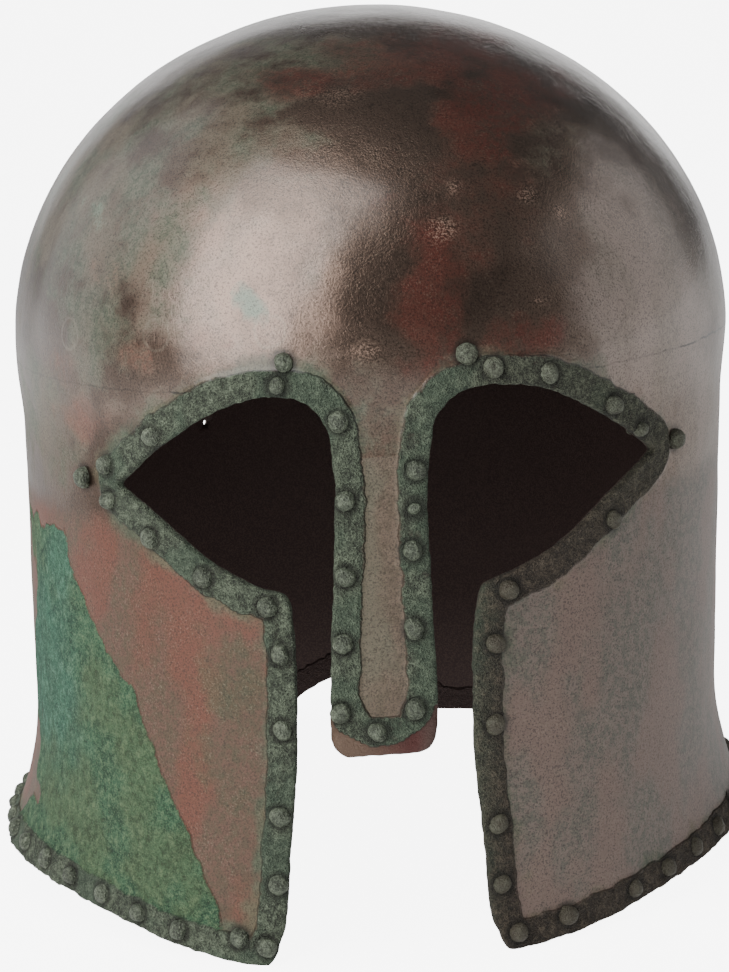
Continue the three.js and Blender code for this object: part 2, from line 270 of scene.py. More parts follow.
class Chart:
    """The surface laid flat: a walk round it in millimetres, and a rise that becomes an arc on the dome."""

    def __init__(self, form: Form) -> None:
        """Measures the walk round the widest section.

        Args:
            form: The surface to lay flat.
        """
        self.form = form
        self._turns = np.linspace(0, math.pi, 20001)
        x, y = form.section(self._turns, form.half_width, form.front_reach, form.back_reach)
        self._walks = walked(np.column_stack([x, y]))
        self.half = float(self._walks[-1])

    def turn_of(self, walk: np.ndarray) -> np.ndarray:
        """The turn reached by a walk from the face."""
        return np.sign(walk) * np.interp(np.abs(walk), self._walks, self._turns)

    def walk_of(self, turn: np.ndarray) -> np.ndarray:
        """The walk from the face to a turn."""
        return np.sign(turn) * np.interp(np.abs(turn), self._turns, self._walks)

    def from_front(self, line: np.ndarray, behind: bool = False) -> np.ndarray:
        """Lays a line drawn as (across, height), seen from the front or from behind, on the chart."""
        turn = self.form.turn_across(line[:, 0], line[:, 1], behind)
        return np.column_stack([self.walk_of(turn), self.rise_of(line[:, 1])])

    def rise_of(self, height: np.ndarray) -> np.ndarray:
        """The rise of a height."""
        over = np.clip((height - self.form.widest_height) / self.form.dome_height, 0, 1)
        dome = self.form.widest_height + self.form.dome_arc * np.arcsin(over)
        return np.where(height > self.form.widest_height, dome, height)

    def place(self, chart: np.ndarray) -> np.ndarray:
        """Points in space of chart points."""
        turn = self.turn_of(chart[:, 0])
        widest = self.form.widest_height
        latitude = np.clip((chart[:, 1] - widest) / self.form.dome_arc, 0, math.pi / 2)
        on_dome = (chart[:, 1] > widest)[:, None]
        wall = self.form.wall(turn, np.minimum(chart[:, 1], widest))
        return np.where(on_dome, self.form.dome(turn, latitude), wall)

    def normal(self, chart: np.ndarray) -> np.ndarray:
        """Outward directions at chart points away from the crown."""
        step = 0.25
        along = self.place(chart + [step, 0]) - self.place(chart - [step, 0])
        up = self.place(chart + [0, step]) - self.place(chart - [0, step])
        out = np.cross(along, up)
        return out / np.linalg.norm(out, axis=1)[:, None]


# ---------------------------------------------------------------- the outline


@dataclass(frozen=True)
class Outline:
    """The openings of the face and the lower edge, drawn as (across, height) for one side."""

    cheek: Points = (
        (46, -164), (36, -155.4), (32, -148), (29.4, -139), (25.6, -115), (23.5, -96),
        (23.5, -72), (24.3, -60), (26, -53.5),
    )  # fmt: skip
    eye_lower: Points = ((26, -53.5), (36, -50.6), (48, -44.3), (60, -34.8), (72, -26))
    eye_upper: Points = (
        (72, -26), (62, -16.6), (50, -8), (40, -3), (29, -1.2), (19.5, -3), (14.4, -9), (12.8, -18),
    )  # fmt: skip
    nasal: Points = ((12.8, -18), (12.2, -32), (13.3, -60), (14.4, -84), (14.4, -92.3))
    nasal_corner: float = 6.0
    bite: Points = (
        (-32, -152), (-27, -144), (-21, -137.5), (-12, -133), (-3, -131.6), (8, -134),
        (17, -140), (24, -146), (31, -152),
    )  # fmt: skip
    middle_shift: float = -1.1
    corner_shift: float = 1.9
    corner_across: float = 72.0
    pitch: float = 0.95
    rounding: float = 0.8
    ragged: float = 0.22
    chipped: float = 0.3

    def on_side(self, points: Points, side: Side) -> np.ndarray:
        """Turns one side's points into a smooth line at their true place across."""
        line = spline(points)
        share = np.clip(np.abs(line[:, 0]) / self.corner_across, 0, 1)
        shift = self.middle_shift + (self.corner_shift - self.middle_shift) * share
        return np.column_stack([side.value * line[:, 0] + shift, line[:, 1]])

    def half_face(self, side: Side) -> list[np.ndarray]:
        """The runs of one side of the face, from the cheek tip to the nasal's lower corner."""
        runs = [self.on_side(p, side) for p in (self.cheek, self.eye_lower, self.eye_upper, self.nasal)]
        x, z = runs[-1][-1]
        reach = -side.value * self.nasal_corner
        start, end = (180, 270) if side is Side.RIGHT else (0, -90)
        return [*runs, arc((x + reach, z), self.nasal_corner, start, end)]

    def trace(self, chart: Chart) -> np.ndarray:
        """The whole edge on the chart, from the back round the wearer's right side, the face and the left.

        Args:
            chart: The flat chart to draw on.

        Returns:
            Chart points at an even pitch. The first and last are the same place at the back.
        """
        form = chart.form
        bite = resample(spline(self.bite), 0.3)
        lowest = form.edge_height(form.turn_across(bite[:, 0], bite[:, 1], behind=True))
        bite = bite[bite[:, 1] > lowest]
        runs: dict[Side, np.ndarray] = {}
        for side in Side:
            face = np.vstack(self.half_face(side))
            on_chart = chart.from_front(resample(face, 0.3))
            under = form.edge_height(chart.turn_of(on_chart[:, 0]))
            on_chart = on_chart[np.argmax(on_chart[:, 1] > under) :]
            broken = bite[bite[:, 0] * side.value > 0]
            broken = broken[np.argsort(np.abs(broken[:, 0]))]
            broken = chart.from_front(np.vstack([[side.value * 1e-6, broken[0, 1]], broken]), behind=True)
            broken[0, 0] = side.value * chart.half
            walk = np.linspace(broken[-1, 0], on_chart[0, 0], 1200)[1:-1]
            edge = np.column_stack([walk, form.edge_height(chart.turn_of(walk))])
            runs[side] = np.vstack([broken, edge, on_chart])
        middle = (runs[Side.RIGHT][0, 1] + runs[Side.LEFT][0, 1]) / 2
        runs[Side.RIGHT][0, 1] = runs[Side.LEFT][0, 1] = middle
        line = resample(np.vstack([runs[Side.RIGHT], runs[Side.LEFT][::-1]]), self.pitch / 3)
        return self.weather(line, chart)

    def weather(self, line: np.ndarray, chart: Chart) -> np.ndarray:
        """Rounds the corners of the edge and wears it ragged.

        Args:
            line: The sharp edge from -half to half.
            chart: The chart that it is drawn on.

        Returns:
            The worn edge at its final pitch.
        """
        count = len(line) - 1
        trend = np.linspace(0, 2 * chart.half, count, endpoint=False)
        loop = line[:-1] - np.column_stack([trend, np.zeros(count)])
        step = walked(line)[-1] / count
        freq = np.fft.fftfreq(count, d=step)
        soften = np.exp(-2 * (math.pi * self.rounding * freq) ** 2)[:, None]
        loop = np.fft.ifft(np.fft.fft(loop, axis=0) * soften, axis=0).real
        loop = loop + np.column_stack([trend, np.zeros(count)])
        tangent = np.roll(loop, -1, axis=0) - np.roll(loop, 1, axis=0)
        tangent[0], tangent[-1] = tangent[1], tangent[-2]
        tangent /= np.linalg.norm(tangent, axis=1)[:, None]
        into = np.column_stack([-tangent[:, 1], tangent[:, 0]])
        spots = chart.place(loop)
        nick = self.ragged * cloud(spots, 2.6, 3, 2) + self.chipped * cloud(spots, 9.0, 4, 2)
        loop = loop + into * nick[:, None]
        loop = np.vstack([loop, loop[0] + [2 * chart.half, 0]])
        return resample(loop, self.pitch)


# ---------------------------------------------------------------- the skin


@dataclass(frozen=True)
class Skin:
    """One side of the sheet as a net of triangles on the chart."""

    chart: np.ndarray
    triangles: np.ndarray
    rim: np.ndarray
    pin: np.ndarray


class EdgeFinder:
    """Finds how far points of the chart lie from the worn edge, and on which side of it."""

    def __init__(self, line: np.ndarray) -> None:
        """Keeps the edge in a search tree.

        Args:
            line: The edge, with the metal on its left as it runs.
        """
        self.line = line
        tangent = np.gradient(line, axis=0)
        tangent[0] = tangent[-1] = (tangent[1] + tangent[-2]) / 2
        tangent /= np.linalg.norm(tangent, axis=1)[:, None]
        self.into = np.column_stack([-tangent[:, 1], tangent[:, 0]])
        self._tree = KDTree(len(line))
        for i, (walk, rise) in enumerate(line):
            self._tree.insert((walk, rise, 0.0), i)
        self._tree.balance()

    def nearest(self, points: np.ndarray) -> tuple[np.ndarray, np.ndarray]:
        """The index of the nearest edge point, and the distance into the metal, negative over an opening."""
        index = np.empty(len(points), int)
        away = np.empty(len(points))
        for i, (walk, rise) in enumerate(points):
            _, index[i], away[i] = self._tree.find((walk, rise, 0.0))
        over = ((points - self.line[index]) * self.into[index]).sum(axis=1)
        return index, np.where(over < 0, -away, away)


def lattice(low: Sequence[float], high: Sequence[float], pitch: float) -> np.ndarray:
    """Points in staggered rows over a rectangle."""
    rows = np.arange(low[1], high[1], pitch * math.sqrt(3) / 2)
    spots = []
    for i, y in enumerate(rows):
        x = np.arange(low[0] + (i % 2) * pitch / 2, high[0], pitch)
        spots.append(np.column_stack([x, np.full(len(x), y)]))
    return np.vstack(spots)


def net(points: np.ndarray, border: int) -> np.ndarray:
    """Joins points by triangles inside a border.

    Args:
        points: The points, those of the border first and in order.
        border: How many of them are the border.

    Returns:
        Triangles as rows of three indices.
    """
    found = delaunay_2d_cdt([Vector(p) for p in points], [], [list(range(border))], 1, WELD_REACH)
    first = [ids[0] for ids in found[3]]
    return np.array([[first[i] for i in face] for face in found[2]], int)


@dataclass(frozen=True)
class Fineness:
    """How finely a side of the sheet is netted, in millimetres."""

    near: float
    middle: float
    far: float
    near_reach: float = 10.0
    middle_reach: float = 17.0


@dataclass
class SkinMaker:
    """Nets one side of the sheet: the wall by its chart, and the crown as a round cap."""

    chart: Chart
    edge: np.ndarray
    pin_place: tuple[float, float]
    pin_radius: float = 0.9
    cap_latitude: float = 0.9
    seam_pitch: float = 2.4
    clearance: float = 0.6
    pin_clearance: float = 0.5

    def build(self, fine: Fineness) -> Skin:
        """Nets the side.

        Args:
            fine: The pitch of the net near the edge and away from it.

        Returns:
            The netted side, with its seam closed.
        """
        form = self.chart.form
        half, top = self.chart.half, form.widest_height + self.cap_latitude * form.dome_arc
        seam = resample(np.array([[half, self.edge[-1, 1]], [half, top]]), self.seam_pitch)[1:]
        ring = resample(np.array([[half, top], [-half, top]]), self.seam_pitch)[1:-1]
        other = (seam * [-1, 1])[::-1]
        border = np.vstack([self.edge, seam, ring, other])
        pin_angles = np.linspace(0, 2 * math.pi, 9, endpoint=False)
        pin = np.array(self.pin_place) + self.pin_radius * np.column_stack(
            [np.cos(pin_angles), np.sin(pin_angles)]
        )
        levels = (
            (fine.near, 0.0, fine.near_reach),
            (fine.middle, fine.near_reach, fine.middle_reach),
            (fine.far, fine.middle_reach, math.inf),
        )
        low, high = (-half, self.edge[:, 1].min()), (half, top)
        finder = EdgeFinder(self.edge)
        kept = []
        for pitch, start, end in levels:
            spots = lattice(low, high, pitch)
            margin = self.clearance * pitch
            clear = (top - spots[:, 1] > margin) & (half - np.abs(spots[:, 0]) > margin)
            pin_margin = self.pin_radius + self.pin_clearance * pitch
            clear &= np.linalg.norm(spots - self.pin_place, axis=1) > pin_margin
            spots = spots[clear]
            _, away = finder.nearest(spots)
            kept.append(spots[(away > margin) & (away >= start) & (away < end)])
        wall = np.vstack([border, pin, *kept])
        faces = net(wall, len(border))
        pin_start = len(border)
        pin_ids = np.arange(pin_start, pin_start + len(pin))
        plugged = np.isin(faces, pin_ids).all(axis=1)
        faces = faces[~plugged]
        n_edge, n_seam, n_ring = len(self.edge), len(seam), len(ring)
        same = np.arange(len(wall))
        same[n_edge - 1] = 0
        seam_ids = np.arange(n_edge, n_edge + n_seam)
        other_ids = np.arange(n_edge + n_seam + n_ring, n_edge + 2 * n_seam + n_ring)
        same[other_ids] = seam_ids[::-1]
        ring_ids = np.concatenate([[seam_ids[-1]], np.arange(n_edge + n_seam, n_edge + n_seam + n_ring)])
        cap_chart, cap_faces = self.cap(wall[ring_ids], fine.far)
        cap_ids = np.concatenate([ring_ids, len(wall) + np.arange(len(cap_chart) - len(ring_ids))])
        chart = np.vstack([wall, cap_chart[len(ring_ids) :]])
        faces = np.vstack([same[faces], cap_ids[cap_faces]])
        used = np.unique(faces)
        renumber = np.full(len(chart), -1)
        renumber[used] = np.arange(len(used))
        return Skin(
            chart[used], renumber[faces], renumber[same[np.arange(n_edge - 1)]], renumber[pin_ids]
        )

    def cap(self, ring: np.ndarray, pitch: float) -> tuple[np.ndarray, np.ndarray]:
        """Nets the crown over the ring at the top of the wall's chart.

        Args:
            ring: Chart points of the ring.
            pitch: The pitch of the net.

        Returns:
            Chart points, those of the ring first, and triangles.
        """
        form = self.chart.form
        crown = form.widest_height + form.dome_arc * math.pi / 2
        radius = crown - ring[0, 1]
        angle = ring[:, 0] / self.chart.half * math.pi
        flat = np.column_stack([np.sin(angle), -np.cos(angle)]) * radius
        spots = lattice((-radius, -radius), (radius, radius), pitch)
        spots = spots[np.linalg.norm(spots, axis=1) < radius - self.clearance * pitch]
        order = np.arange(len(ring))[::-1]
        everything = np.vstack([flat[order], spots])
        faces = net(everything, len(ring))
        back = np.concatenate([order, np.arange(len(ring), len(everything))])
        away = np.linalg.norm(spots, axis=1)
        walk = np.arctan2(spots[:, 0], -spots[:, 1]) / math.pi * self.chart.half
        chart = np.vstack([ring, np.column_stack([walk, crown - away])])
        return chart, back[faces]


# ---------------------------------------------------------------- seating on the frame


@dataclass(frozen=True)
class Seat:
    """How the helmet stands: the turn and the shift from the ring's level to the frame, in millimetres."""

    turn: np.ndarray
    shift: np.ndarray
    rack: float

    @classmethod
    def fitted(cls, drawn: np.ndarray, packed: np.ndarray, form: Form) -> "Seat":
        """Finds the shift that lays drawn points, tipped back, on packed ones.

        Args:
            drawn: Points level with the ring, before their lean.
            packed: The same points on the frame.
            form: The surface, for its lean and its tip.

        Returns:
            The seat.
        """
        tip = -math.radians(form.tip_back)
        turn = np.array([[1, 0, 0], [0, math.cos(tip), -math.sin(tip)], [0, math.sin(tip), math.cos(tip)]])
        level = cls(turn, np.zeros(3), form.rack)
        return cls(turn, (packed - level.stand(level.lean(drawn))).mean(0), form.rack)

    def lean(self, points: np.ndarray) -> np.ndarray:
        """Leans the metal under the ring."""
        leaned = np.array(points, float)
        leaned[:, 0] += self.rack * np.minimum(leaned[:, 2], 0)
        return leaned

    def stand(self, points: np.ndarray) -> np.ndarray:
        """Moves leaned points to the frame."""
        return points @ self.turn.T + self.shift

    def aim(self, directions: np.ndarray) -> np.ndarray:
        """Turns directions to the frame."""
        return directions @ self.turn.T


def make_object(name: str, points: np.ndarray, faces: np.ndarray) -> bpy.types.Object:
    """Makes a mesh object at the origin from points in millimetres.

    Args:
        name: Its name.
        points: Its vertices.
        faces: Its faces as vertex indices.

    Returns:
        The linked object.
    """
    mesh = bpy.data.meshes.new(name)
    mesh.from_pydata((points * MM).tolist(), [], faces.tolist())
    mesh.update()
    made = bpy.data.objects.new(name, mesh)
    bpy.context.scene.collection.objects.link(made)
    return made


def write_attribute(target: bpy.types.Object, name: str, values: np.ndarray) -> None:
    """Writes one number, or one direction, for each vertex."""
    kind = "FLOAT_VECTOR" if values.ndim == 2 else "FLOAT"
    layer = target.data.attributes.new(name, kind, "POINT")
    layer.data.foreach_set("vector" if values.ndim == 2 else "value", values.astype(np.float32).ravel())


def vertex_normals(points: np.ndarray, faces: np.ndarray) -> np.ndarray:
    """Area-weighted directions out of a mesh at its vertices."""
    a, b, c = (points[faces[:, k]] for k in range(3))
    out = np.cross(b - a, c - a)
    total = np.zeros_like(points)
    for k in range(3):
        np.add.at(total, faces[:, k], out)
    return total / np.maximum(np.linalg.norm(total, axis=1), 1e-12)[:, None]


# ---------------------------------------------------------------- rivets


@dataclass(frozen=True)
class RivetRow:
    """Rivets that follow one edge of the face, as (across, height), in the order of their nodes."""

    name: str
    places: Points
    grip: float


FACE_WALL, NASAL_WALL = 3.1, 5.5
RIVET_ROWS = (
    RivetRow("right_eye", ((-11.4, -8), (-25.1, 8), (-27.1, 2), (-60.1, -12), (-72.7, -21),
        (-79.1, -25.5), (-72.1, -30.5), (-61.1, -39.5), (-47.1, -49), (-30.6, -56.7)), FACE_WALL),
    RivetRow("right_cheek", ((-27.3, -69.5), (-27.1, -89.7), (-28.6, -113.3), (-30.7, -131.9),
        (-35.3, -149), (-43.5, -147)), FACE_WALL),
    RivetRow("nasal", ((-10, -29), (-10.1, -49), (-11.1, -67), (-11.9, -85.4), (-2.3, -91),
        (7.6, -85.5), (7.6, -64), (7.3, -43), (7.9, -32), (8.5, -22)), NASAL_WALL),
    RivetRow("left_eye", ((22.4, 7.5), (28.9, 3.3), (43.5, 0.3), (61.2, -11.1), (69.2, -19.5),
        (79.9, -25), (61.1, -42), (32.5, -56.1)), FACE_WALL),
    RivetRow("left_cheek", ((28.9, -70), (28.7, -91.8), (30.2, -119), (32.7, -135.5), (37.9, -149.4),
        (52.9, -147.5)), FACE_WALL),
)  # fmt: skip


@dataclass
class Rivets:
    """The rivets that held the lining: round the face, and along the lower edge."""

    chart: Chart
    head_radius: float = 2.9
    head_height: float = 3.0
    tail_radius: float = 2.2
    tail_height: float = 0.8
    raised: float = 0.7
    seat_gap: float = 0.5
    edge_rise: float = 4.5
    edge_pitch: float = 14.5
    bite_reach: float = 31.0
    shapes: dict[str, tuple[float, float, float]] = field(
        default_factory=lambda: {
            "left_eye_1": (1.05, 1.05, 0.55),
            "right_eye_3": (0.8, 0.8, 0.85),
            "nasal_9": (0.6, 0.6, 0.7),
            "left_eye_5": (0.85, 0.85, 0.8),
        }
    )

    def names(self) -> list[str]:
        """The CAD nodes of the face's rivets."""
        return [f"rivet_{row.name}_{i + 1}" for row in RIVET_ROWS for i in range(len(row.places))]

    def face_seats(self) -> tuple[np.ndarray, np.ndarray, np.ndarray]:
        """Where the face's rivets pass through the metal.

        Returns:
            Points on the surface, directions out of it, and grips.
        """
        across = np.array([place for row in RIVET_ROWS for place in row.places], float)
        grips = np.array([row.grip for row in RIVET_ROWS for _ in row.places])
        chart = self.chart.from_front(across)
        return self.chart.place(chart), self.chart.normal(chart), grips

    def middles(self) -> np.ndarray:
        """The middle of each face rivet between its head's top and its tail's end."""
        points, out, grips = self.face_seats()
        low = self.raised - grips - self.seat_gap - self.tail_height
        return points + out * ((self.head_height + low) / 2)[:, None]

    def edge_seats(self) -> tuple[np.ndarray, np.ndarray]:
        """Where the lower edge's rivets stand.

        Returns:
            Points on the surface and directions out of it.
        """
        form = self.chart.form
        found = []
        for side, edge in ((Side.RIGHT, form.right), (Side.LEFT, form.left)):
            turns = side.value * np.radians(np.arange(edge.rivet_turn, 180, 0.5))
            line = form.wall(turns, form.edge_height(turns) + self.edge_rise)
            since = self.edge_pitch
            for i, turn in enumerate(turns):
                since += float(np.linalg.norm(line[i] - line[i - 1])) if i else 0.0
                bitten = abs(turn) > math.pi / 2 and abs(line[i, 0]) < self.bite_reach
                if since >= self.edge_pitch and not bitten:
                    found.append([float(self.chart.walk_of(turn)), line[i, 2]])
                    since = 0.0
        chart = np.array(found)
        return self.chart.place(chart), self.chart.normal(chart)


# ---------------------------------------------------------------- stains


class Stain(Enum):
    """What has grown on the bronze, by the name of its attribute."""

    PINK = "pink"
    SMOKE = "smoke"
    FILM = "film"
    CUPRITE = "cuprite"
    RUST = "rust"
    MINT = "mint"
    GRIT = "grit"
    HALO = "halo"
    RED_CHEEK = "red_cheek"
    MAUVE_CHEEK = "mauve_cheek"
    PANEL = "panel"
    OLIVE = "olive"
    TEAL = "teal"
    MALACHITE = "malachite"


@dataclass(frozen=True)
class Patch:
    """A soft patch of one stain on the front, as (across, height), with its half-widths and its lean."""

    stain: Stain
    across: float
    height: float
    wide: float
    tall: float
    lean: float = 0.0
    strength: float = 1.0


PATCHES = (
    Patch(Stain.CUPRITE, 36, 66, 24, 13, 10, 0.9),
    Patch(Stain.CUPRITE, 16, 80, 30, 9, 0, 0.7),
    Patch(Stain.CUPRITE, -16, 76, 13, 5, 0, 0.8),
    Patch(Stain.CUPRITE, 15, 20, 13, 30, 5, 0.75),
    Patch(Stain.CUPRITE, 35, 10, 16, 9, 0, 0.8),
    Patch(Stain.CUPRITE, 26, 45, 22, 24, 0, 0.45),
    Patch(Stain.RUST, -65, 9, 9, 5, 0, 0.65),
    Patch(Stain.RUST, -86, 4, 6, 9, 0, 0.5),
    Patch(Stain.RUST, -80, -9, 12, 6, 0, 0.6),
    Patch(Stain.RUST, -48, 14, 9, 4, 0, 0.4),
    Patch(Stain.RUST, -70, 30, 6, 8, 0, 0.4),
    Patch(Stain.RUST, 72, -106, 12, 18, 20, 0.7),
    Patch(Stain.RUST, 62, -92, 8, 14, 15, 0.65),
    Patch(Stain.RUST, 70, -68, 5, 10, 10, 0.6),
    Patch(Stain.RUST, 60, -130, 7, 10, 0, 0.55),
    Patch(Stain.MINT, -33, 23, 4, 6, 20, 0.75),
    Patch(Stain.MINT, -73, 44, 4, 5, 0, 0.25),
    Patch(Stain.GRIT, 18, 39, 4, 3, 0, 0.5),
    Patch(Stain.GRIT, 22, 49, 2, 2, 0, 0.5),
    Patch(Stain.GRIT, 41, 45, 3, 2, 0, 0.5),
    Patch(Stain.GRIT, 50, 40, 2, 3, 0, 0.5),
    Patch(Stain.GRIT, 42, 19, 3, 2, 0, 0.45),
    Patch(Stain.GRIT, -4, 10, 4, 2, 0, 0.5),
    Patch(Stain.GRIT, -8, 72, 9, 3, 0, 0.3),
    Patch(Stain.MINT, -4, -32, 3, 4, 0, 0.5),
    Patch(Stain.FILM, -74, 45, 30, 40, -25, 0.75),
    Patch(Stain.FILM, -40, 66, 34, 22, 20, 0.6),
    Patch(Stain.FILM, -74, 12, 12, 18, 0, 0.8),
    Patch(Stain.FILM, -90, -10, 10, 20, 0, 0.8),
    Patch(Stain.FILM, 48, 58, 12, 13, 0, 0.35),
    Patch(Stain.FILM, -10, 82, 30, 6, 0, 0.7),
    Patch(Stain.FILM, -6, -4, 14, 12, 0, 0.4),
    Patch(Stain.PINK, -48, 32, 22, 26, 0, 0.9),
    Patch(Stain.PINK, -22, 25, 20, 30, 0, 0.7),
    Patch(Stain.PINK, -58, -6, 30, 9, 0, 0.5),
    Patch(Stain.PINK, 66, 22, 16, 18, 0, 0.4),
    Patch(Stain.SMOKE, 78, 20, 30, 52, -15, 1.0),
    Patch(Stain.SMOKE, 84, -22, 18, 28, 0, 0.8),
    Patch(Stain.OLIVE, -40, -76, 12, 16, 20, 0.65),
    Patch(Stain.OLIVE, -46, -96, 9, 12, 0, 0.5),
    Patch(Stain.OLIVE, -40, -112, 8, 10, 0, 0.35),
    Patch(Stain.TEAL, -93, -84, 14, 30, 0, 0.9),
    Patch(Stain.TEAL, -88, -52, 5, 16, 0, 0.9),
)


@dataclass(frozen=True)
class Stains:
    """Spreads the stains over the form, one number from 0 to 1 for each."""

    chart: Chart
    malachite_edge: Points = (
        (-88, -34), (-83, -55), (-75, -72), (-67, -82), (-63, -95), (-55, -116), (-50, -140), (-48, -158),
    )  # fmt: skip
    malachite_top: float = -42.0
    malachite_reach: float = 150.0

    def spread(self, points: np.ndarray, chart: np.ndarray) -> dict[Stain, np.ndarray]:
        """Works out each stain at each vertex.

        Args:
            points: Vertices level with the ring, before their lean.
            chart: The same vertices on the chart.

        Returns:
            The share of each stain.
        """
        x, y, z = points.T
        front = smoothstep(-y, -30, 20)
        wander = 0.45 * cloud(points, 16, 11, 3)
        shares = {stain: np.zeros(len(points)) for stain in Stain}
        for patch in PATCHES:
            turn = math.radians(patch.lean)
            dx, dz = x - patch.across, z - patch.height
            u = (dx * math.cos(turn) + dz * math.sin(turn)) / patch.wide
            v = (dz * math.cos(turn) - dx * math.sin(turn)) / patch.tall
            share = patch.strength * (1 - smoothstep(np.hypot(u, v) + wander, 0.35, 1.25)) * front
            shares[patch.stain] = np.maximum(shares[patch.stain], share)
        behind = 1 - front
        for seed, (stain, size, level, strength) in enumerate(
            (
                (Stain.FILM, 60.0, -0.1, 0.65),
                (Stain.PINK, 45.0, 0.0, 0.45),
                (Stain.CUPRITE, 38.0, 0.1, 0.5),
                (Stain.RUST, 26.0, 0.25, 0.4),
                (Stain.SMOKE, 80.0, 0.0, 0.7),
            )
        ):
            grown = strength * smoothstep(cloud(points, size, 20 + seed, 4), level, level + 0.6)
            shares[stain] = np.maximum(shares[stain], grown * behind)
        cheek = smoothstep(-z, 26, 46) * front
        shares[Stain.RED_CHEEK] = cheek * (x < 0)
        shares[Stain.MAUVE_CHEEK] = cheek * (x >= 0)
        shares[Stain.PANEL] = ((np.abs(x + 1) < 16) & (y < 0)) * smoothstep(-z, 16.5, 19.5)
        shares[Stain.MALACHITE] = self.malachite(points, chart)
        return shares

    def malachite(self, points: np.ndarray, chart: np.ndarray) -> np.ndarray:
        """The green side of the wearer's right cheek, as a soft step over its slanting edge."""
        line = np.array(self.malachite_edge, float)
        walks = self.chart.from_front(line)[:, 0]
        order = np.argsort(line[:, 1])
        edge = np.interp(chart[:, 1], line[order, 1], walks[order])
        over = edge - chart[:, 0] + 2.2 * cloud(points, 9.0, 31, 3)
        top = self.malachite_top + 6 * cloud(points, 8.0, 32, 2) - points[:, 2]
        far = chart[:, 0] + self.malachite_reach + 26 * cloud(points, 30.0, 33, 3)
        nearest = np.minimum(np.minimum(over, top), far * 0.5)
        return np.clip(0.5 + nearest / 8.0, 0, 1)


# ---------------------------------------------------------------- the sheet


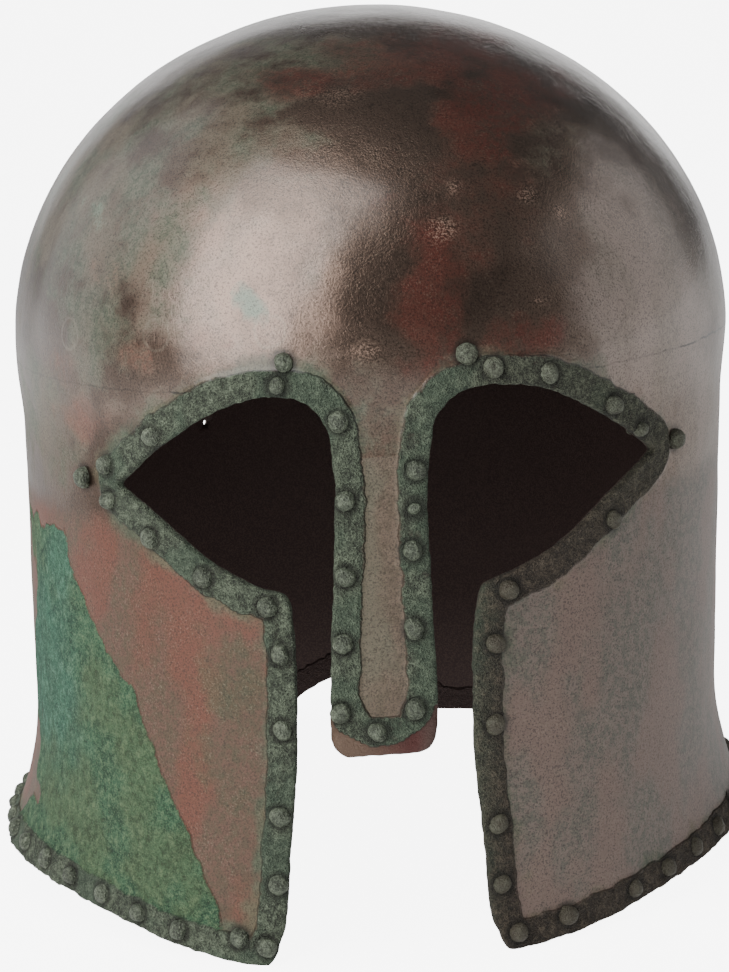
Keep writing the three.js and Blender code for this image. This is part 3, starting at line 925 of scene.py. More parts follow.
@dataclass
class Sheet:
    """The helmet itself: bowl, wall, cheek pieces and nasal, hammered from one sheet."""

    chart: Chart
    outline: Outline
    wall: float = 1.5
    border_width: float = 8.0
    border_raise: float = 0.7
    border_wall: float = 2.4
    nasal_grip: float = 4.8
    nasal_foot: float = 11.3
    lip_across: float = 13.6
    lip_drop: float = 10.7
    lip_level: float = -84.0
    lip_sunk: float = 0.7
    rim_round: float = 0.7
    nasal_round: float = 1.2
    lip_round: float = 2.3
    rim_steps: int = 5
    rim_fullness: float = 0.75
    rim_flatness: float = 0.85
    pin_place: tuple[float, float] = (-50.4, -43.8)
    halo_reach: float = 2.5
    # Reach of the painted contact shade round each rivet's foot, in millimetres.
    rivet_shade_inner: float = 3.0
    rivet_shade_outer: float = 4.6
    outer_fineness: Fineness = Fineness(1.0, 1.6, 2.3)
    inner_fineness: Fineness = Fineness(1.7, 2.8, 4.6)

    def nasal_share(self, points: np.ndarray) -> np.ndarray:
        """How far each point belongs to the nasal, fading into the brow."""
        x, y, z = points.T
        return smoothstep(-z, 10, 24) * ((np.abs(x - self.outline.middle_shift) < 20) & (y < 0))

    def lip_share(self, points: np.ndarray) -> np.ndarray:
        """How far each point lies on the smooth lip under the crust of the nasal."""
        u = (points[:, 0] - self.outline.middle_shift) / self.lip_across
        v = np.minimum(points[:, 2] - self.lip_level, 0) / self.lip_drop
        wander = 0.05 * cloud(points, 4.0, 41, 2)
        low = smoothstep(self.lip_level - points[:, 2], 0, 1.5)
        return self.nasal_share(points) * low * smoothstep(np.hypot(u, v) + wander, 0.96, 1.04)

    def border_share(self, points: np.ndarray, away: np.ndarray) -> np.ndarray:
        """How far each point lies on the raised and crusted border, with a ragged inner edge."""
        foot = self.nasal_share(points) * smoothstep(-points[:, 2], 80, 90)
        width = self.border_width + (self.nasal_foot - self.border_width) * foot
        ragged = 0.7 * cloud(points, 6.0, 51, 3)
        return smoothstep(width - away + ragged, -0.6, 0.6)

    def outer_lift(self, points: np.ndarray, away: np.ndarray) -> np.ndarray:
        """How far the outside stands over the drawn surface."""
        lift = self.border_raise * self.border_share(points, away)
        return lift - (self.lip_sunk + self.border_raise) * self.lip_share(points)

    def inner_depth(self, points: np.ndarray, away: np.ndarray) -> np.ndarray:
        """How far the inside lies under the drawn surface."""
        turned = self.chart.form.edge_height(np.arctan2(points[:, 0], -points[:, 1]))
        face = smoothstep(points[:, 2] - turned, 6, 14) * (points[:, 1] < 0)
        thick = (self.border_wall - self.wall) * (1 - smoothstep(away, 8, 12)) * face
        return self.wall + thick + (self.nasal_grip - self.wall) * self.nasal_share(points)

    def rim_radii(self, points: np.ndarray) -> np.ndarray:
        """How round the metal's edge is at each point of the outline."""
        nasal = self.nasal_share(points)
        foot = smoothstep(-points[:, 2], 84, 92)
        radius = self.rim_round + (self.nasal_round - self.rim_round) * nasal
        return radius + (self.lip_round - self.nasal_round) * nasal * foot

    def hammer(self, points: np.ndarray) -> np.ndarray:
        """The sheet's own unevenness, which both its sides share."""
        return 0.3 * cloud(points, 34, 61, 2) + 0.1 * cloud(points, 12, 62, 2)

    def rivet_shade_shares(self, points: np.ndarray, rivets: np.ndarray) -> np.ndarray:
        """How near each point is to a rivet's foot, as a painted contact shade that darkens the metal there.
        """
        tree = KDTree(len(rivets))
        for i, place in enumerate(rivets):
            tree.insert(Vector(place), i)
        tree.balance()
        away = np.array([tree.find(Vector(point))[2] for point in points])
        return 1 - smoothstep(away, self.rivet_shade_inner, self.rivet_shade_outer)

    def build(self, seat: Seat, rivets: np.ndarray) -> bpy.types.Object:
        """Builds the closed sheet on the frame.

        Args:
            seat: Where the helmet stands.
            rivets: The feet of all rivets, level with the ring.

        Returns:
            The finished object, with its attributes.
        """
        edge = self.outline.trace(self.chart)
        finder = EdgeFinder(edge)
        radii = self.rim_radii(self.chart.place(edge))
        inset = edge + finder.into * radii[:, None]
        pin = tuple(self.chart.from_front(np.array([self.pin_place]), behind=True)[0])
        maker = SkinMaker(self.chart, inset, pin)
        outer, inner = maker.build(self.outer_fineness), maker.build(self.inner_fineness)
        sides = []
        for skin, outward in ((outer, True), (inner, False)):
            level = self.chart.place(skin.chart)
            _, away = finder.nearest(skin.chart)
            normals = vertex_normals(level, skin.triangles)
            shift = self.hammer(level)
            shift = shift + (self.outer_lift(level, away) if outward else -self.inner_depth(level, away))
            sides.append((level, away, normals, shift, level + normals * shift[:, None]))
        (level_o, away_o, normal_o, shift_o, outside), (level_i, away_i, _, shift_i, within) = sides
        rim_base = level_o[outer.rim]
        out = normal_o[outer.rim]
        toward = self.chart.place(edge[:-1]) - rim_base
        toward -= out * (toward * out).sum(axis=1)[:, None]
        top, bottom = shift_o[outer.rim], shift_i[inner.rim]
        middle, reach = (top + bottom) / 2, (top - bottom) / 2
        loops = [
            rim_base + toward * side + out * (middle + reach * rise)[:, None]
            for side, rise in self.rim_profile()
        ]
        points = np.vstack([outside, within, *loops])
        level = np.vstack([level_o, level_i, *[rim_base + toward for _ in loops]])
        n_out, n_in, n_rim = len(outside), len(within), len(outer.rim)
        rings = [outer.rim]
        rings += [n_out + n_in + k * n_rim + np.arange(n_rim) for k in range(self.rim_steps)]
        rings += [n_out + inner.rim]
        faces = [outer.triangles, n_out + inner.triangles[:, ::-1]]
        faces += [strip(a, b) for a, b in zip(rings[1:], rings[:-1])]
        faces.append(strip(outer.pin, n_out + inner.pin))
        triangles = np.vstack(faces)
        chart = np.vstack([outer.chart, inner.chart, *[edge[:-1] for _ in loops]])
        away = np.concatenate([away_o, away_i, np.zeros(n_rim * self.rim_steps)])
        turned = [np.full(n_rim, share) for share in self.turnover()]
        hidden = np.concatenate([np.zeros(n_out), np.ones(n_in), *turned])
        border = self.border_share(level, away)
        shares = Stains(self.chart).spread(level, chart)
        points = self.roughen(points, triangles, level, border * (1 - hidden), shares[Stain.MALACHITE])
        spread = 0.5 + 0.5 * smoothstep(-level[:, 0], -20, 20)
        reach = self.border_width + self.halo_reach + 4 * cloud(level, 14, 84, 3)
        shares[Stain.HALO] = spread * smoothstep(reach - away, -4, 5) * (1 - self.nasal_share(level))
        standing = seat.stand(seat.lean(points))
        standing[:, 2] = np.maximum(standing[:, 2], 0)
        made = make_object("helmet_sheet", standing, triangles)
        made.data.shade_smooth()
        traits = self.traits(level, hidden, border, rivets)
        traits |= {stain.value: share for stain, share in shares.items()}
        for name, values in traits.items():
            write_attribute(made, name, values)
        return made

    def rim_profile(self) -> list[tuple[float, float]]:
        """How far each loop of the rim stands out of the metal, and over its middle, as shares."""
        profile = []
        for k in range(1, self.rim_steps + 1):
            angle = math.pi / 2 - math.pi * k / (self.rim_steps + 1)
            rise = math.copysign(abs(math.sin(angle)) ** self.rim_flatness, angle)
            profile.append((math.cos(angle) ** self.rim_fullness, rise))
        return profile

    def traits(
        self, level: np.ndarray, hidden: np.ndarray, border: np.ndarray, rivets: np.ndarray
    ) -> dict[str, np.ndarray]:
        """What the finish needs to know of each point.

        Args:
            level: The points, level with the ring.
            hidden: How far each lies inside.
            border: How far each lies on the border.
            rivets: The feet of all rivets.

        Returns:
            Values for each point, by the name of their attribute.
        """
        high = level[:, 2]
        aside = 0.6 * level[:, 0] + 0.8 * (high - 40)
        return {
            "level": high,
            "across": level[:, 0],
            "inside": hidden,
            "crusted": border,
            "lip": self.lip_share(level),
            # Painted contact shade round the rivets' feet.
            "collar": self.rivet_shade_shares(level, rivets),
            "tone": smoothstep(cloud(level, 34, 81, 3), -0.35, 0.35),
            "hue": smoothstep(cloud(level, 20, 82, 4), -0.05, 0.3),
            "streak": smoothstep(cloud(level * (1, 1, 0.5), 15, 83, 4), -0.25, 0.35),
            "polish": smoothstep(aside, 10, 60) * smoothstep(high, -10, 15),
        }

    def turnover(self) -> list[float]:
        """How far each loop of the rim counts as inside."""
        return [float(smoothstep(np.array(k), 2.5, self.rim_steps)) for k in range(1, self.rim_steps + 1)]

    def roughen(
        self,
        points: np.ndarray,
        triangles: np.ndarray,
        level: np.ndarray,
        border: np.ndarray,
        green: np.ndarray,
    ) -> np.ndarray:
        """Roughens the surface where corrosion stands on it.

        Args:
            points: Vertices of the closed sheet.
            triangles: Its faces.
            level: The drawn surface under each vertex.
            border: The share of crusted border.
            green: The share of malachite.

        Returns:
            The moved vertices.
        """
        crust = 0.26 * cloud(points, 5.0, 71, 2) + 0.2 * cloud(points, 2.3, 72, 2)
        grown = 0.16 * cloud(points, 3.0, 73, 2)
        plain = 0.03 * cloud(points, 5.0, 74, 2)
        crust = crust * (1 - self.lip_share(level))
        height = plain + border * crust + np.clip(green * 2 - 0.5, 0, 1) * grown
        return points + vertex_normals(points, triangles) * height[:, None]


def strip(a: np.ndarray, b: np.ndarray) -> np.ndarray:
    """Two triangles for each step between two closed loops."""
    a2, b2 = np.roll(a, -1), np.roll(b, -1)
    return np.vstack([np.column_stack([a, a2, b2]), np.column_stack([a, b2, b])])


# ---------------------------------------------------------------- node sketching


class Sketch:
    """Adds nodes to a tree in a few words, so that a finish reads like a recipe."""

    def __init__(self, tree: bpy.types.NodeTree) -> None:
        """Keeps the tree.

        Args:
            tree: A shader or geometry node tree.
        """
        self.tree = tree

    def put(self, socket: Socket, value: Value) -> None:
        """Links a socket, or sets a constant, on an input."""
        if isinstance(value, bpy.types.NodeSocket):
            self.tree.links.new(value, socket)
        elif isinstance(value, tuple) and len(value) == 3 and socket.type == "RGBA":
            socket.default_value = (*value, 1.0)
        else:
            socket.default_value = value

    def add(self, kind: str, inputs: dict[Union[str, int], Value], **settings: object) -> bpy.types.Node:
        """Adds one node.

        Args:
            kind: Its type's name.
            inputs: Values or sockets for its inputs.
            settings: Its own properties.

        Returns:
            The node.
        """
        node = self.tree.nodes.new(kind)
        for name, value in settings.items():
            setattr(node, name, value)
        for name, value in inputs.items():
            self.put(node.inputs[name], value)
        return node

    def sum(self, operation: str, a: Value, b: Value = 0.0) -> Socket:
        """One Math node."""
        return self.add("ShaderNodeMath", {0: a, 1: b}, operation=operation).outputs[0]

    def scaled(self, vector: Value, scale: float) -> Socket:
        """A vector times a number."""
        node = self.add("ShaderNodeVectorMath", {0: vector, "Scale": scale}, operation="SCALE")
        return node.outputs[0]

    def step(self, x: Value, low: Value, high: Value, start: Value = 0.0, end: Value = 1.0) -> Socket:
        """Eases from start to end as x goes from low to high."""
        inputs = {"Value": x, "From Min": low, "From Max": high, "To Min": start, "To Max": end}
        return self.add("ShaderNodeMapRange", inputs, interpolation_type="SMOOTHSTEP").outputs[0]

    def blend(self, share: Value, a: Value, b: Value) -> Socket:
        """Blends two colours."""
        node = self.add("ShaderNodeMix", {}, data_type="RGBA", clamp_factor=True)
        for socket, value in ((node.inputs[0], share), (node.inputs[6], a), (node.inputs[7], b)):
            self.put(socket, value)
        return node.outputs[2]

    def noise(self, vector: Value, size: float, detail: float = 4.0, rough: float = 0.55) -> Socket:
        """Cloudy noise whose largest lumps are about size units wide."""
        inputs = {"Vector": vector, "Scale": 1 / size, "Detail": detail, "Roughness": rough}
        return self.add("ShaderNodeTexNoise", inputs).outputs["Fac"]

    def attribute(self, name: str) -> Socket:
        """A number kept on the mesh."""
        return self.add("ShaderNodeAttribute", {}, attribute_name=name).outputs["Fac"]

    def group(self, tree: bpy.types.NodeTree, inputs: dict[str, Value]) -> bpy.types.Node:
        """Places a node group."""
        node = self.tree.nodes.new("ShaderNodeGroup")
        node.node_tree = tree
        for name, value in inputs.items():
            self.put(node.inputs[name], value)
        return node


def tint(red: int, green: int, blue: int) -> Colour:
    """A colour as eight-bit display values, turned to linear light."""

    def linear(value: float) -> float:
        """One channel in linear light."""
        share = value / 255
        return share / 12.92 if share <= 0.04045 else ((share + 0.055) / 1.055) ** 2.4

    return linear(red), linear(green), linear(blue)


def new_group(name: str, inputs: dict[str, str], outputs: dict[str, str]) -> tuple:
    """Starts a shader node group.

    Args:
        name: Its name.
        inputs: Kinds of its inputs, by name.
        outputs: Kinds of its outputs, by name.

    Returns:
        The tree, a sketch of it, its input node and its output node.
    """
    tree = bpy.data.node_groups.new(name, "ShaderNodeTree")
    for label, kind in inputs.items():
        tree.interface.new_socket(label, in_out="INPUT", socket_type=f"NodeSocket{kind}")
    for label, kind in outputs.items():
        tree.interface.new_socket(label, in_out="OUTPUT", socket_type=f"NodeSocket{kind}")
    source, sink = tree.nodes.new("NodeGroupInput"), tree.nodes.new("NodeGroupOutput")
    return tree, Sketch(tree), source, sink


# ---------------------------------------------------------------- finishes


@dataclass(frozen=True)
class CrustTints:
    """The three tints of one granular corrosion."""

    light: Colour
    middle: Colour
    dark: Colour


MALACHITE = CrustTints(tint(118, 142, 106), tint(66, 104, 76), tint(32, 55, 41))
TEAL = CrustTints(tint(108, 160, 138), tint(56, 110, 90), tint(34, 68, 56))
GREEN_CRUST = CrustTints(tint(130, 142, 120), tint(84, 94, 78), tint(39, 43, 36))
BROWN_CRUST = CrustTints(tint(104, 94, 80), tint(65, 56, 47), tint(32, 27, 22))
RIVET_CRUST = CrustTints(tint(134, 144, 124), tint(88, 96, 82), tint(44, 48, 40))


@dataclass(frozen=True)
class Effects:
    """Node groups that both the sheet and the rivets use."""

    grain: bpy.types.NodeTree
    crust: bpy.types.NodeTree
    ring: bpy.types.NodeTree

    @classmethod
    def build(cls) -> "Effects":
        """Builds every group once."""
        return cls(cls.build_grain(), cls.build_crust(), cls.build_ring())

    @staticmethod
    def build_grain() -> bpy.types.NodeTree:
        """The grain of old metal at three sizes, and the height of its lumps."""
        outputs = {"Broad": "Float", "Lumps": "Float", "Fine": "Float", "Height": "Float"}
        tree, s, source, sink = new_group("Grain", {"Place": "Vector"}, outputs)
        place = source.outputs["Place"]
        lumps = s.noise(place, 2.4, 3.0, 0.75)
        fine = s.noise(place, 0.5, 1.0, 0.7)
        s.put(sink.inputs["Broad"], s.noise(place, 8.0, 3.0, 0.65))
        s.put(sink.inputs["Lumps"], lumps)
        s.put(sink.inputs["Fine"], fine)
        s.put(sink.inputs["Height"], s.sum("ADD", lumps, s.sum("MULTIPLY", fine, 0.6)))
        return tree

    @staticmethod
    def build_crust() -> bpy.types.NodeTree:
        """The colour of granular corrosion, from its grain and three tints."""
        names = {"Broad": "Float", "Lumps": "Float", "Fine": "Float"}
        tints = {"Light": "Color", "Middle": "Color", "Dark": "Color"}
        tree, s, source, sink = new_group("Granular crust", {**names, **tints}, {"Color": "Color"})
        broad, lumps, fine, light, middle, dark = (source.outputs[n] for n in (*names, *tints))
        colour = s.blend(s.step(broad, 0.6, 0.36, 0.0, 0.5), middle, dark)
        colour = s.blend(s.step(lumps, 0.46, 0.74, 0.0, 0.8), colour, light)
        colour = s.blend(s.step(lumps, 0.52, 0.3, 0.0, 0.8), colour, dark)
        colour = s.blend(s.step(fine, 0.5, 0.76, 0.0, 0.6), colour, light)
        colour = s.blend(s.step(fine, 0.5, 0.28, 0.0, 0.7), colour, dark)
        s.put(sink.inputs["Color"], colour)
        return tree

    def crusted(self, s: Sketch, grain: bpy.types.NodeOutputs, tints: CrustTints) -> Socket:
        """The colour of granular corrosion in three tints."""
        inputs = {name: grain[name] for name in ("Broad", "Lumps", "Fine")}
        inputs |= {"Light": tints.light, "Middle": tints.middle, "Dark": tints.dark}
        return s.group(self.crust, inputs).outputs["Color"]

    @staticmethod
    def build_ring() -> bpy.types.NodeTree:
        """A round flush mark: one thin circle about a centre."""
        inputs = {"Place": "Vector", "Wobble": "Float", "Centre": "Vector", "Radius": "Float"}
        tree, s, source, sink = new_group("Round mark", inputs, {"Mask": "Float"})
        spots = {0: source.outputs["Place"], 1: source.outputs["Centre"]}
        reach = s.add("ShaderNodeVectorMath", spots, operation="DISTANCE").outputs["Value"]
        wobble = s.sum("MULTIPLY", s.sum("SUBTRACT", source.outputs["Wobble"], 0.5), 2.2)
        off = s.sum("SUBTRACT", s.sum("ADD", reach, wobble), source.outputs["Radius"])
        s.put(sink.inputs["Mask"], s.step(s.sum("ABSOLUTE", off), 0.7, 0.1))
        return tree


@dataclass(frozen=True)
class StainLook:
    """How one stain looks: three tints, how ragged and crisp its edge is, and how it shines."""

    stain: Stain
    colour: Colour
    mottle: Colour
    streak: Colour
    ragged: float
    crisp: float
    roughness: float
    metal: float
    cover: float = 1.0


SHEET_LOOKS = (
    StainLook(
        Stain.PINK, tint(162, 142, 130), tint(140, 126, 112), tint(170, 140, 124), 0.5, 0.45, 0.4, 0.7, 0.75
    ),
    StainLook(
        Stain.SMOKE, tint(138, 124, 114), tint(120, 108, 98), tint(146, 130, 122), 0.4, 0.45, 0.34, 0.75, 0.9
    ),
    StainLook(
        Stain.FILM, tint(112, 114, 96), tint(80, 92, 74), tint(122, 108, 92), 0.9, 0.4, 0.5, 0.35, 0.85
    ),
    StainLook(
        Stain.CUPRITE, tint(104, 42, 34), tint(84, 54, 44), tint(110, 48, 38), 0.8, 0.42, 0.36, 0.45, 0.75
    ),
    StainLook(
        Stain.RUST, tint(124, 76, 59), tint(104, 82, 66), tint(128, 70, 54), 0.9, 0.42, 0.55, 0.15, 0.7
    ),
    StainLook(
        Stain.MINT, tint(132, 168, 144), tint(104, 130, 110), tint(140, 170, 150), 1.1, 0.4, 0.7, 0.0, 0.7
    ),
    StainLook(
        Stain.RED_CHEEK, tint(104, 76, 63), tint(88, 74, 57), tint(116, 66, 52), 0.25, 0.3, 0.55, 0.1
    ),
    StainLook(
        Stain.MAUVE_CHEEK, tint(118, 105, 98), tint(92, 90, 81), tint(122, 101, 93), 0.25, 0.3, 0.42, 0.2
    ),
    StainLook(Stain.HALO, tint(86, 98, 78), tint(70, 84, 66), tint(106, 98, 76), 0.9, 0.4, 0.7, 0.1, 0.9),
    StainLook(Stain.OLIVE, tint(86, 78, 56), tint(72, 74, 54), tint(98, 82, 60), 1.1, 0.35, 0.7, 0.0, 0.75),
    StainLook(
        Stain.PANEL, tint(112, 96, 82), tint(92, 80, 66), tint(106, 104, 88), 0.2, 0.12, 0.6, 0.1, 0.95
    ),
)


@dataclass
class Coat:
    """The coat of paint so far: its colour, roughness and metal, as sockets of one material."""

    s: Sketch
    colour: Value
    roughness: Value
    metal: Value
    glaze: Value = 0.0
    glaze_roughness: float = 0.22
    glaze_ior: float = 1.8

    def toward(self, mask: Socket, value: Value, goal: Value) -> Socket:
        """Moves a number toward a goal by a mask."""
        node = self.s.add("ShaderNodeMix", {}, data_type="FLOAT")
        for socket, given in ((node.inputs[0], mask), (node.inputs[2], value), (node.inputs[3], goal)):
            self.s.put(socket, given)
        return node.outputs[0]

    def cover(self, mask: Socket, colour: Value, roughness: Value, metal: Value) -> None:
        """Lays another finish over the coat.

        Args:
            mask: Where it lies.
            colour: Its colour.
            roughness: Its roughness.
            metal: How metallic it is.
        """
        self.colour = self.s.blend(mask, self.colour, colour)
        self.roughness = self.toward(mask, self.roughness, roughness)
        self.metal = self.toward(mask, self.metal, metal)

    def stain(self, look: StainLook, broad: Socket, lumps: Socket) -> None:
        """Lays a stain over the coat.

        Args:
            look: How it looks.
            broad: Noise that makes its edge ragged.
            lumps: Noise that mottles it.
        """
        s = self.s
        share = s.attribute(look.stain.value)
        rag = s.sum("MULTIPLY", s.sum("SUBTRACT", broad, 0.5), look.ragged * 2)
        ragged = s.sum("ADD", share, s.sum("MULTIPLY", rag, s.step(share, 0.0, 0.15)))
        mask = s.step(ragged, 0.5 - look.crisp, 0.5 + look.crisp, 0.0, look.cover)
        mottled = s.blend(s.step(lumps, 0.38, 0.62), look.colour, look.mottle)
        mottled = s.blend(s.sum("MULTIPLY", s.attribute("streak"), 0.75), mottled, look.streak)
        self.cover(mask, mottled, look.roughness, look.metal)

    def finish(self, tree: bpy.types.NodeTree, height: Socket) -> None:
        """Ends the material with its shader.

        Args:
            tree: The material's tree.
            height: The relief in millimetres.
        """
        s = self.s
        bump = s.add("ShaderNodeBump", {"Height": height, "Strength": 1.0, "Distance": MM})
        inputs = {
            "Normal": bump.outputs[0],
            "Coat Weight": self.glaze,
            "Coat Roughness": self.glaze_roughness,
            "Coat IOR": self.glaze_ior,
            "Base Color": self.colour,
            "Roughness": self.roughness,
            "Metallic": self.metal,
        }
        shader = s.add("ShaderNodeBsdfPrincipled", inputs)
        tree.links.new(shader.outputs[0], s.add("ShaderNodeOutputMaterial", {}).inputs[0])


def new_material(name: str) -> tuple[bpy.types.Material, Sketch, Socket]:
    """Starts a material.

    Args:
        name: Its name.

    Returns:
        The material, a sketch of its tree, and object coordinates in millimetres.
    """
    made = bpy.data.materials.new(name)
    made.use_nodes = True
    made.node_tree.nodes.clear()
    s = Sketch(made.node_tree)
    return made, s, s.scaled(s.add("ShaderNodeTexCoord", {}).outputs["Object"], 1 / MM)


@dataclass(frozen=True)
class BronzeFinish:
    """The sheet's finish: dark patina on the bowl, malachite on one cheek, crust along the borders."""

    effects: Effects
    seat: Seat
    name: str = "patinated bronze"
    patina_dark: Colour = tint(92, 74, 63)
    patina_light: Colour = tint(108, 89, 77)
    patina_roughness: float = 0.31
    patina_metal: float = 0.85
    polish: float = 0.5
    glaze: float = 0.55
    pit: Colour = tint(44, 38, 32)
    sparkle: Colour = tint(150, 138, 120)
    grit: Colour = tint(196, 162, 142)
    ring_dark: Colour = tint(30, 25, 21)
    mark_pale: Colour = tint(160, 148, 132)
    # Colour of the painted contact shade round the rivets.
    rivet_shade_colour: Colour = tint(30, 28, 24)
    hollow_dark: Colour = tint(72, 54, 52)
    hollow_light: Colour = tint(92, 74, 68)
    malachite_hue: Colour = tint(104, 106, 68)
    olive: Colour = tint(84, 78, 54)
    border_hue: Colour = tint(72, 94, 76)
    lip_right: Colour = tint(104, 84, 70)
    lip_middle: Colour = tint(84, 44, 40)
    lip_left: Colour = tint(88, 66, 60)
    mark_radius: float = 4.2
    mark_places: tuple[tuple[float, float, float], ...] = ((-82, -73, 13), (-58, -99, 15), (-28, -113, 16))

    def build(self) -> bpy.types.Material:
        """Builds the material."""
        made, s, place = new_material(self.name)
        grain = s.group(self.effects.grain, {"Place": place}).outputs
        broad, lumps, fine = grain["Broad"], grain["Lumps"], grain["Fine"]
        tone = s.attribute("tone")
        light = s.step(s.sum("ADD", tone, s.sum("MULTIPLY", broad, 0.5)), 0.4, 1.1)
        base = s.blend(light, self.patina_dark, self.patina_light)
        coat = Coat(s, base, self.patina_roughness, self.patina_metal)
        for look in SHEET_LOOKS:
            coat.stain(look, broad, lumps)
        polished = s.step(s.attribute("polish"), 0.0, 1.0, 1.0, self.polish)
        coat.roughness = s.sum("MULTIPLY", coat.roughness, polished)
        pits = s.sum("MAXIMUM", s.step(fine, 0.52, 0.28, 0.0, 0.65), s.step(lumps, 0.42, 0.26, 0.0, 0.6))
        coat.colour = s.blend(pits, coat.colour, self.pit)
        bright = s.sum("MULTIPLY", s.step(fine, 0.52, 0.85), s.step(broad, 0.4, 0.62, 0.1, 0.5))
        coat.colour = s.blend(bright, coat.colour, self.sparkle)
        grit = s.sum("MULTIPLY", s.attribute(Stain.GRIT.value), s.step(fine, 0.5, 0.6))
        coat.cover(grit, self.grit, 0.6, 0.1)
        self.grow_malachite(coat, grain)
        high = s.step(s.attribute("level"), -25.0, 5.0, 0.0, self.glaze)
        bare = s.step(s.sum("MAXIMUM", s.attribute("inside"), s.attribute("crusted")), 0.9, 0.3)
        coat.glaze = s.sum("MULTIPLY", high, bare)
        line = self.ring_line(s, broad)
        coat.colour = s.blend(s.sum("MULTIPLY", line, 0.85), coat.colour, self.ring_dark)
        marks = self.marks(s, place, broad)
        coat.colour = s.blend(s.sum("MULTIPLY", marks, 0.25), coat.colour, self.mark_pale)
        self.lay_border(coat, grain)
        # Painted contact shade: darkens the metal round each rivet's foot.
        coat.colour = s.blend(s.sum("MULTIPLY", s.attribute("collar"), 0.7), coat.colour, self.rivet_shade_colour)
        inside = s.attribute("inside")
        hollow = s.blend(s.step(fine, 0.4, 0.65), self.hollow_dark, self.hollow_light)
        coat.cover(s.step(inside, 0.3, 0.9), hollow, 0.75, 0.1)
        green = s.step(s.attribute(Stain.MALACHITE.value), 0.4, 0.6, 0.14, 1.5)
        crust = s.step(s.attribute("crusted"), 0.2, 0.7, 0.0, 2.2)
        worn = s.step(s.attribute("lip"), 0.7, 0.3, 0.2, 1.0)
        rough = s.sum("MULTIPLY", s.sum("MAXIMUM", green, crust), worn)
        height = s.sum("MULTIPLY", grain["Height"], rough)
        coat.finish(made.node_tree, height)
        return made

    def grow_malachite(self, coat: Coat, grain: bpy.types.NodeOutputs) -> None:
        """Grows the green side of one cheek.

        Args:
            coat: The coat so far.
            grain: The grain of the metal.
        """
        s = coat.s
        rag = s.sum("MULTIPLY", s.sum("SUBTRACT", grain["Lumps"], 0.5), 0.4)
        mask = s.step(s.sum("ADD", s.attribute(Stain.MALACHITE.value), rag), 0.45, 0.57)
        colour = self.effects.crusted(s, grain, MALACHITE)
        teal = self.effects.crusted(s, grain, TEAL)
        colour = s.blend(s.sum("MULTIPLY", s.attribute("hue"), 0.2), colour, self.malachite_hue)
        olive = s.sum("MULTIPLY", s.attribute(Stain.OLIVE.value), s.step(grain["Broad"], 0.4, 0.6))
        colour = s.blend(olive, colour, self.olive)
        colour = s.blend(s.sum("MULTIPLY", s.attribute(Stain.TEAL.value), 0.8), colour, teal)
        coat.cover(mask, colour, 0.9, 0.0)

    def lay_border(self, coat: Coat, grain: bpy.types.NodeOutputs) -> None:
        """Lays the crust along the borders, browner on the wearer's left, and bares the nasal's lip.

        Args:
            coat: The coat so far.
            grain: The grain of the metal.
        """
        s = coat.s
        rag = s.sum("SUBTRACT", grain["Lumps"], 0.5)
        uneven = s.sum("MULTIPLY", s.sum("SUBTRACT", grain["Broad"], 0.55), 1.2)
        ragged = s.sum("ADD", s.attribute("crusted"), s.sum("ADD", uneven, s.sum("MULTIPLY", rag, 0.9)))
        mask = s.step(ragged, 0.2, 0.8)
        green = self.effects.crusted(s, grain, GREEN_CRUST)
        green = s.blend(s.sum("MULTIPLY", s.attribute("hue"), 0.35), green, self.border_hue)
        brown = self.effects.crusted(s, grain, BROWN_CRUST)
        left = s.step(s.sum("ADD", s.attribute("across"), s.sum("MULTIPLY", rag, 16.0)), 14, 34)
        low = s.step(s.attribute("level"), 0, -50, 0.35, 1.0)
        tone = s.blend(s.sum("MULTIPLY", left, low), green, brown)
        coat.cover(mask, tone, 0.86, 0.0)
        bare = s.blend(s.step(s.attribute("across"), -9, 8), self.lip_right, self.lip_middle)
        bare = s.blend(s.step(s.attribute("across"), 7, 12), bare, self.lip_left)
        coat.cover(s.step(s.attribute("lip"), 0.3, 0.7), bare, 0.5, 0.3)

    def ring_line(self, s: Sketch, broad: Socket) -> Socket:
        """The thin line at the ring on both sides of the face."""
        wander = s.sum("MULTIPLY", s.sum("SUBTRACT", broad, 0.5), 2.4)
        off = s.sum("ABSOLUTE", s.sum("ADD", s.attribute("level"), wander))
        across = s.sum("ABSOLUTE", s.attribute("across"))
        broken = s.step(s.attribute("hue"), 0.1, 0.5, 0.3, 1.0)
        return s.sum("MULTIPLY", s.sum("MULTIPLY", s.step(off, 0.42, 0.1), s.step(across, 40, 55)), broken)

    def marks(self, s: Sketch, place: Socket, broad: Socket) -> Socket:
        """The round flush marks over the brow."""
        total: Value = 0.0
        for spot in self.seat.stand(self.seat.lean(np.array(self.mark_places, float))):
            centre = tuple(map(float, spot))
            inputs = {"Place": place, "Wobble": broad, "Centre": centre, "Radius": self.mark_radius}
            total = s.sum("MAXIMUM", total, s.group(self.effects.ring, inputs).outputs["Mask"])
        return total


@dataclass(frozen=True)
class RivetFinish:
    """Corroded rivets: green-grey crust with dark hollows, browner on the wearer's left cheek."""

    effects: Effects
    name: str = "corroded rivets"
    brown: Colour = tint(72, 64, 53)
    roughness: float = 0.5
    metal: float = 0.2

    def build(self) -> bpy.types.Material:
        """Builds the material."""
        made, s, place = new_material(self.name)
        grain = s.group(self.effects.grain, {"Place": place}).outputs
        crust = self.effects.crusted(s, grain, RIVET_CRUST)
        axes = s.add("ShaderNodeSeparateXYZ", {0: place})
        left, low = s.step(axes.outputs["X"], 16, 34), s.step(axes.outputs["Z"], 150, 100, 0.35, 1.0)
        colour = s.blend(s.sum("MULTIPLY", s.sum("MULTIPLY", left, low), 0.8), crust, self.brown)
        Coat(s, colour, self.roughness, self.metal).finish(made.node_tree, grain["Height"])
        return made


# ---------------------------------------------------------------- setting rivets


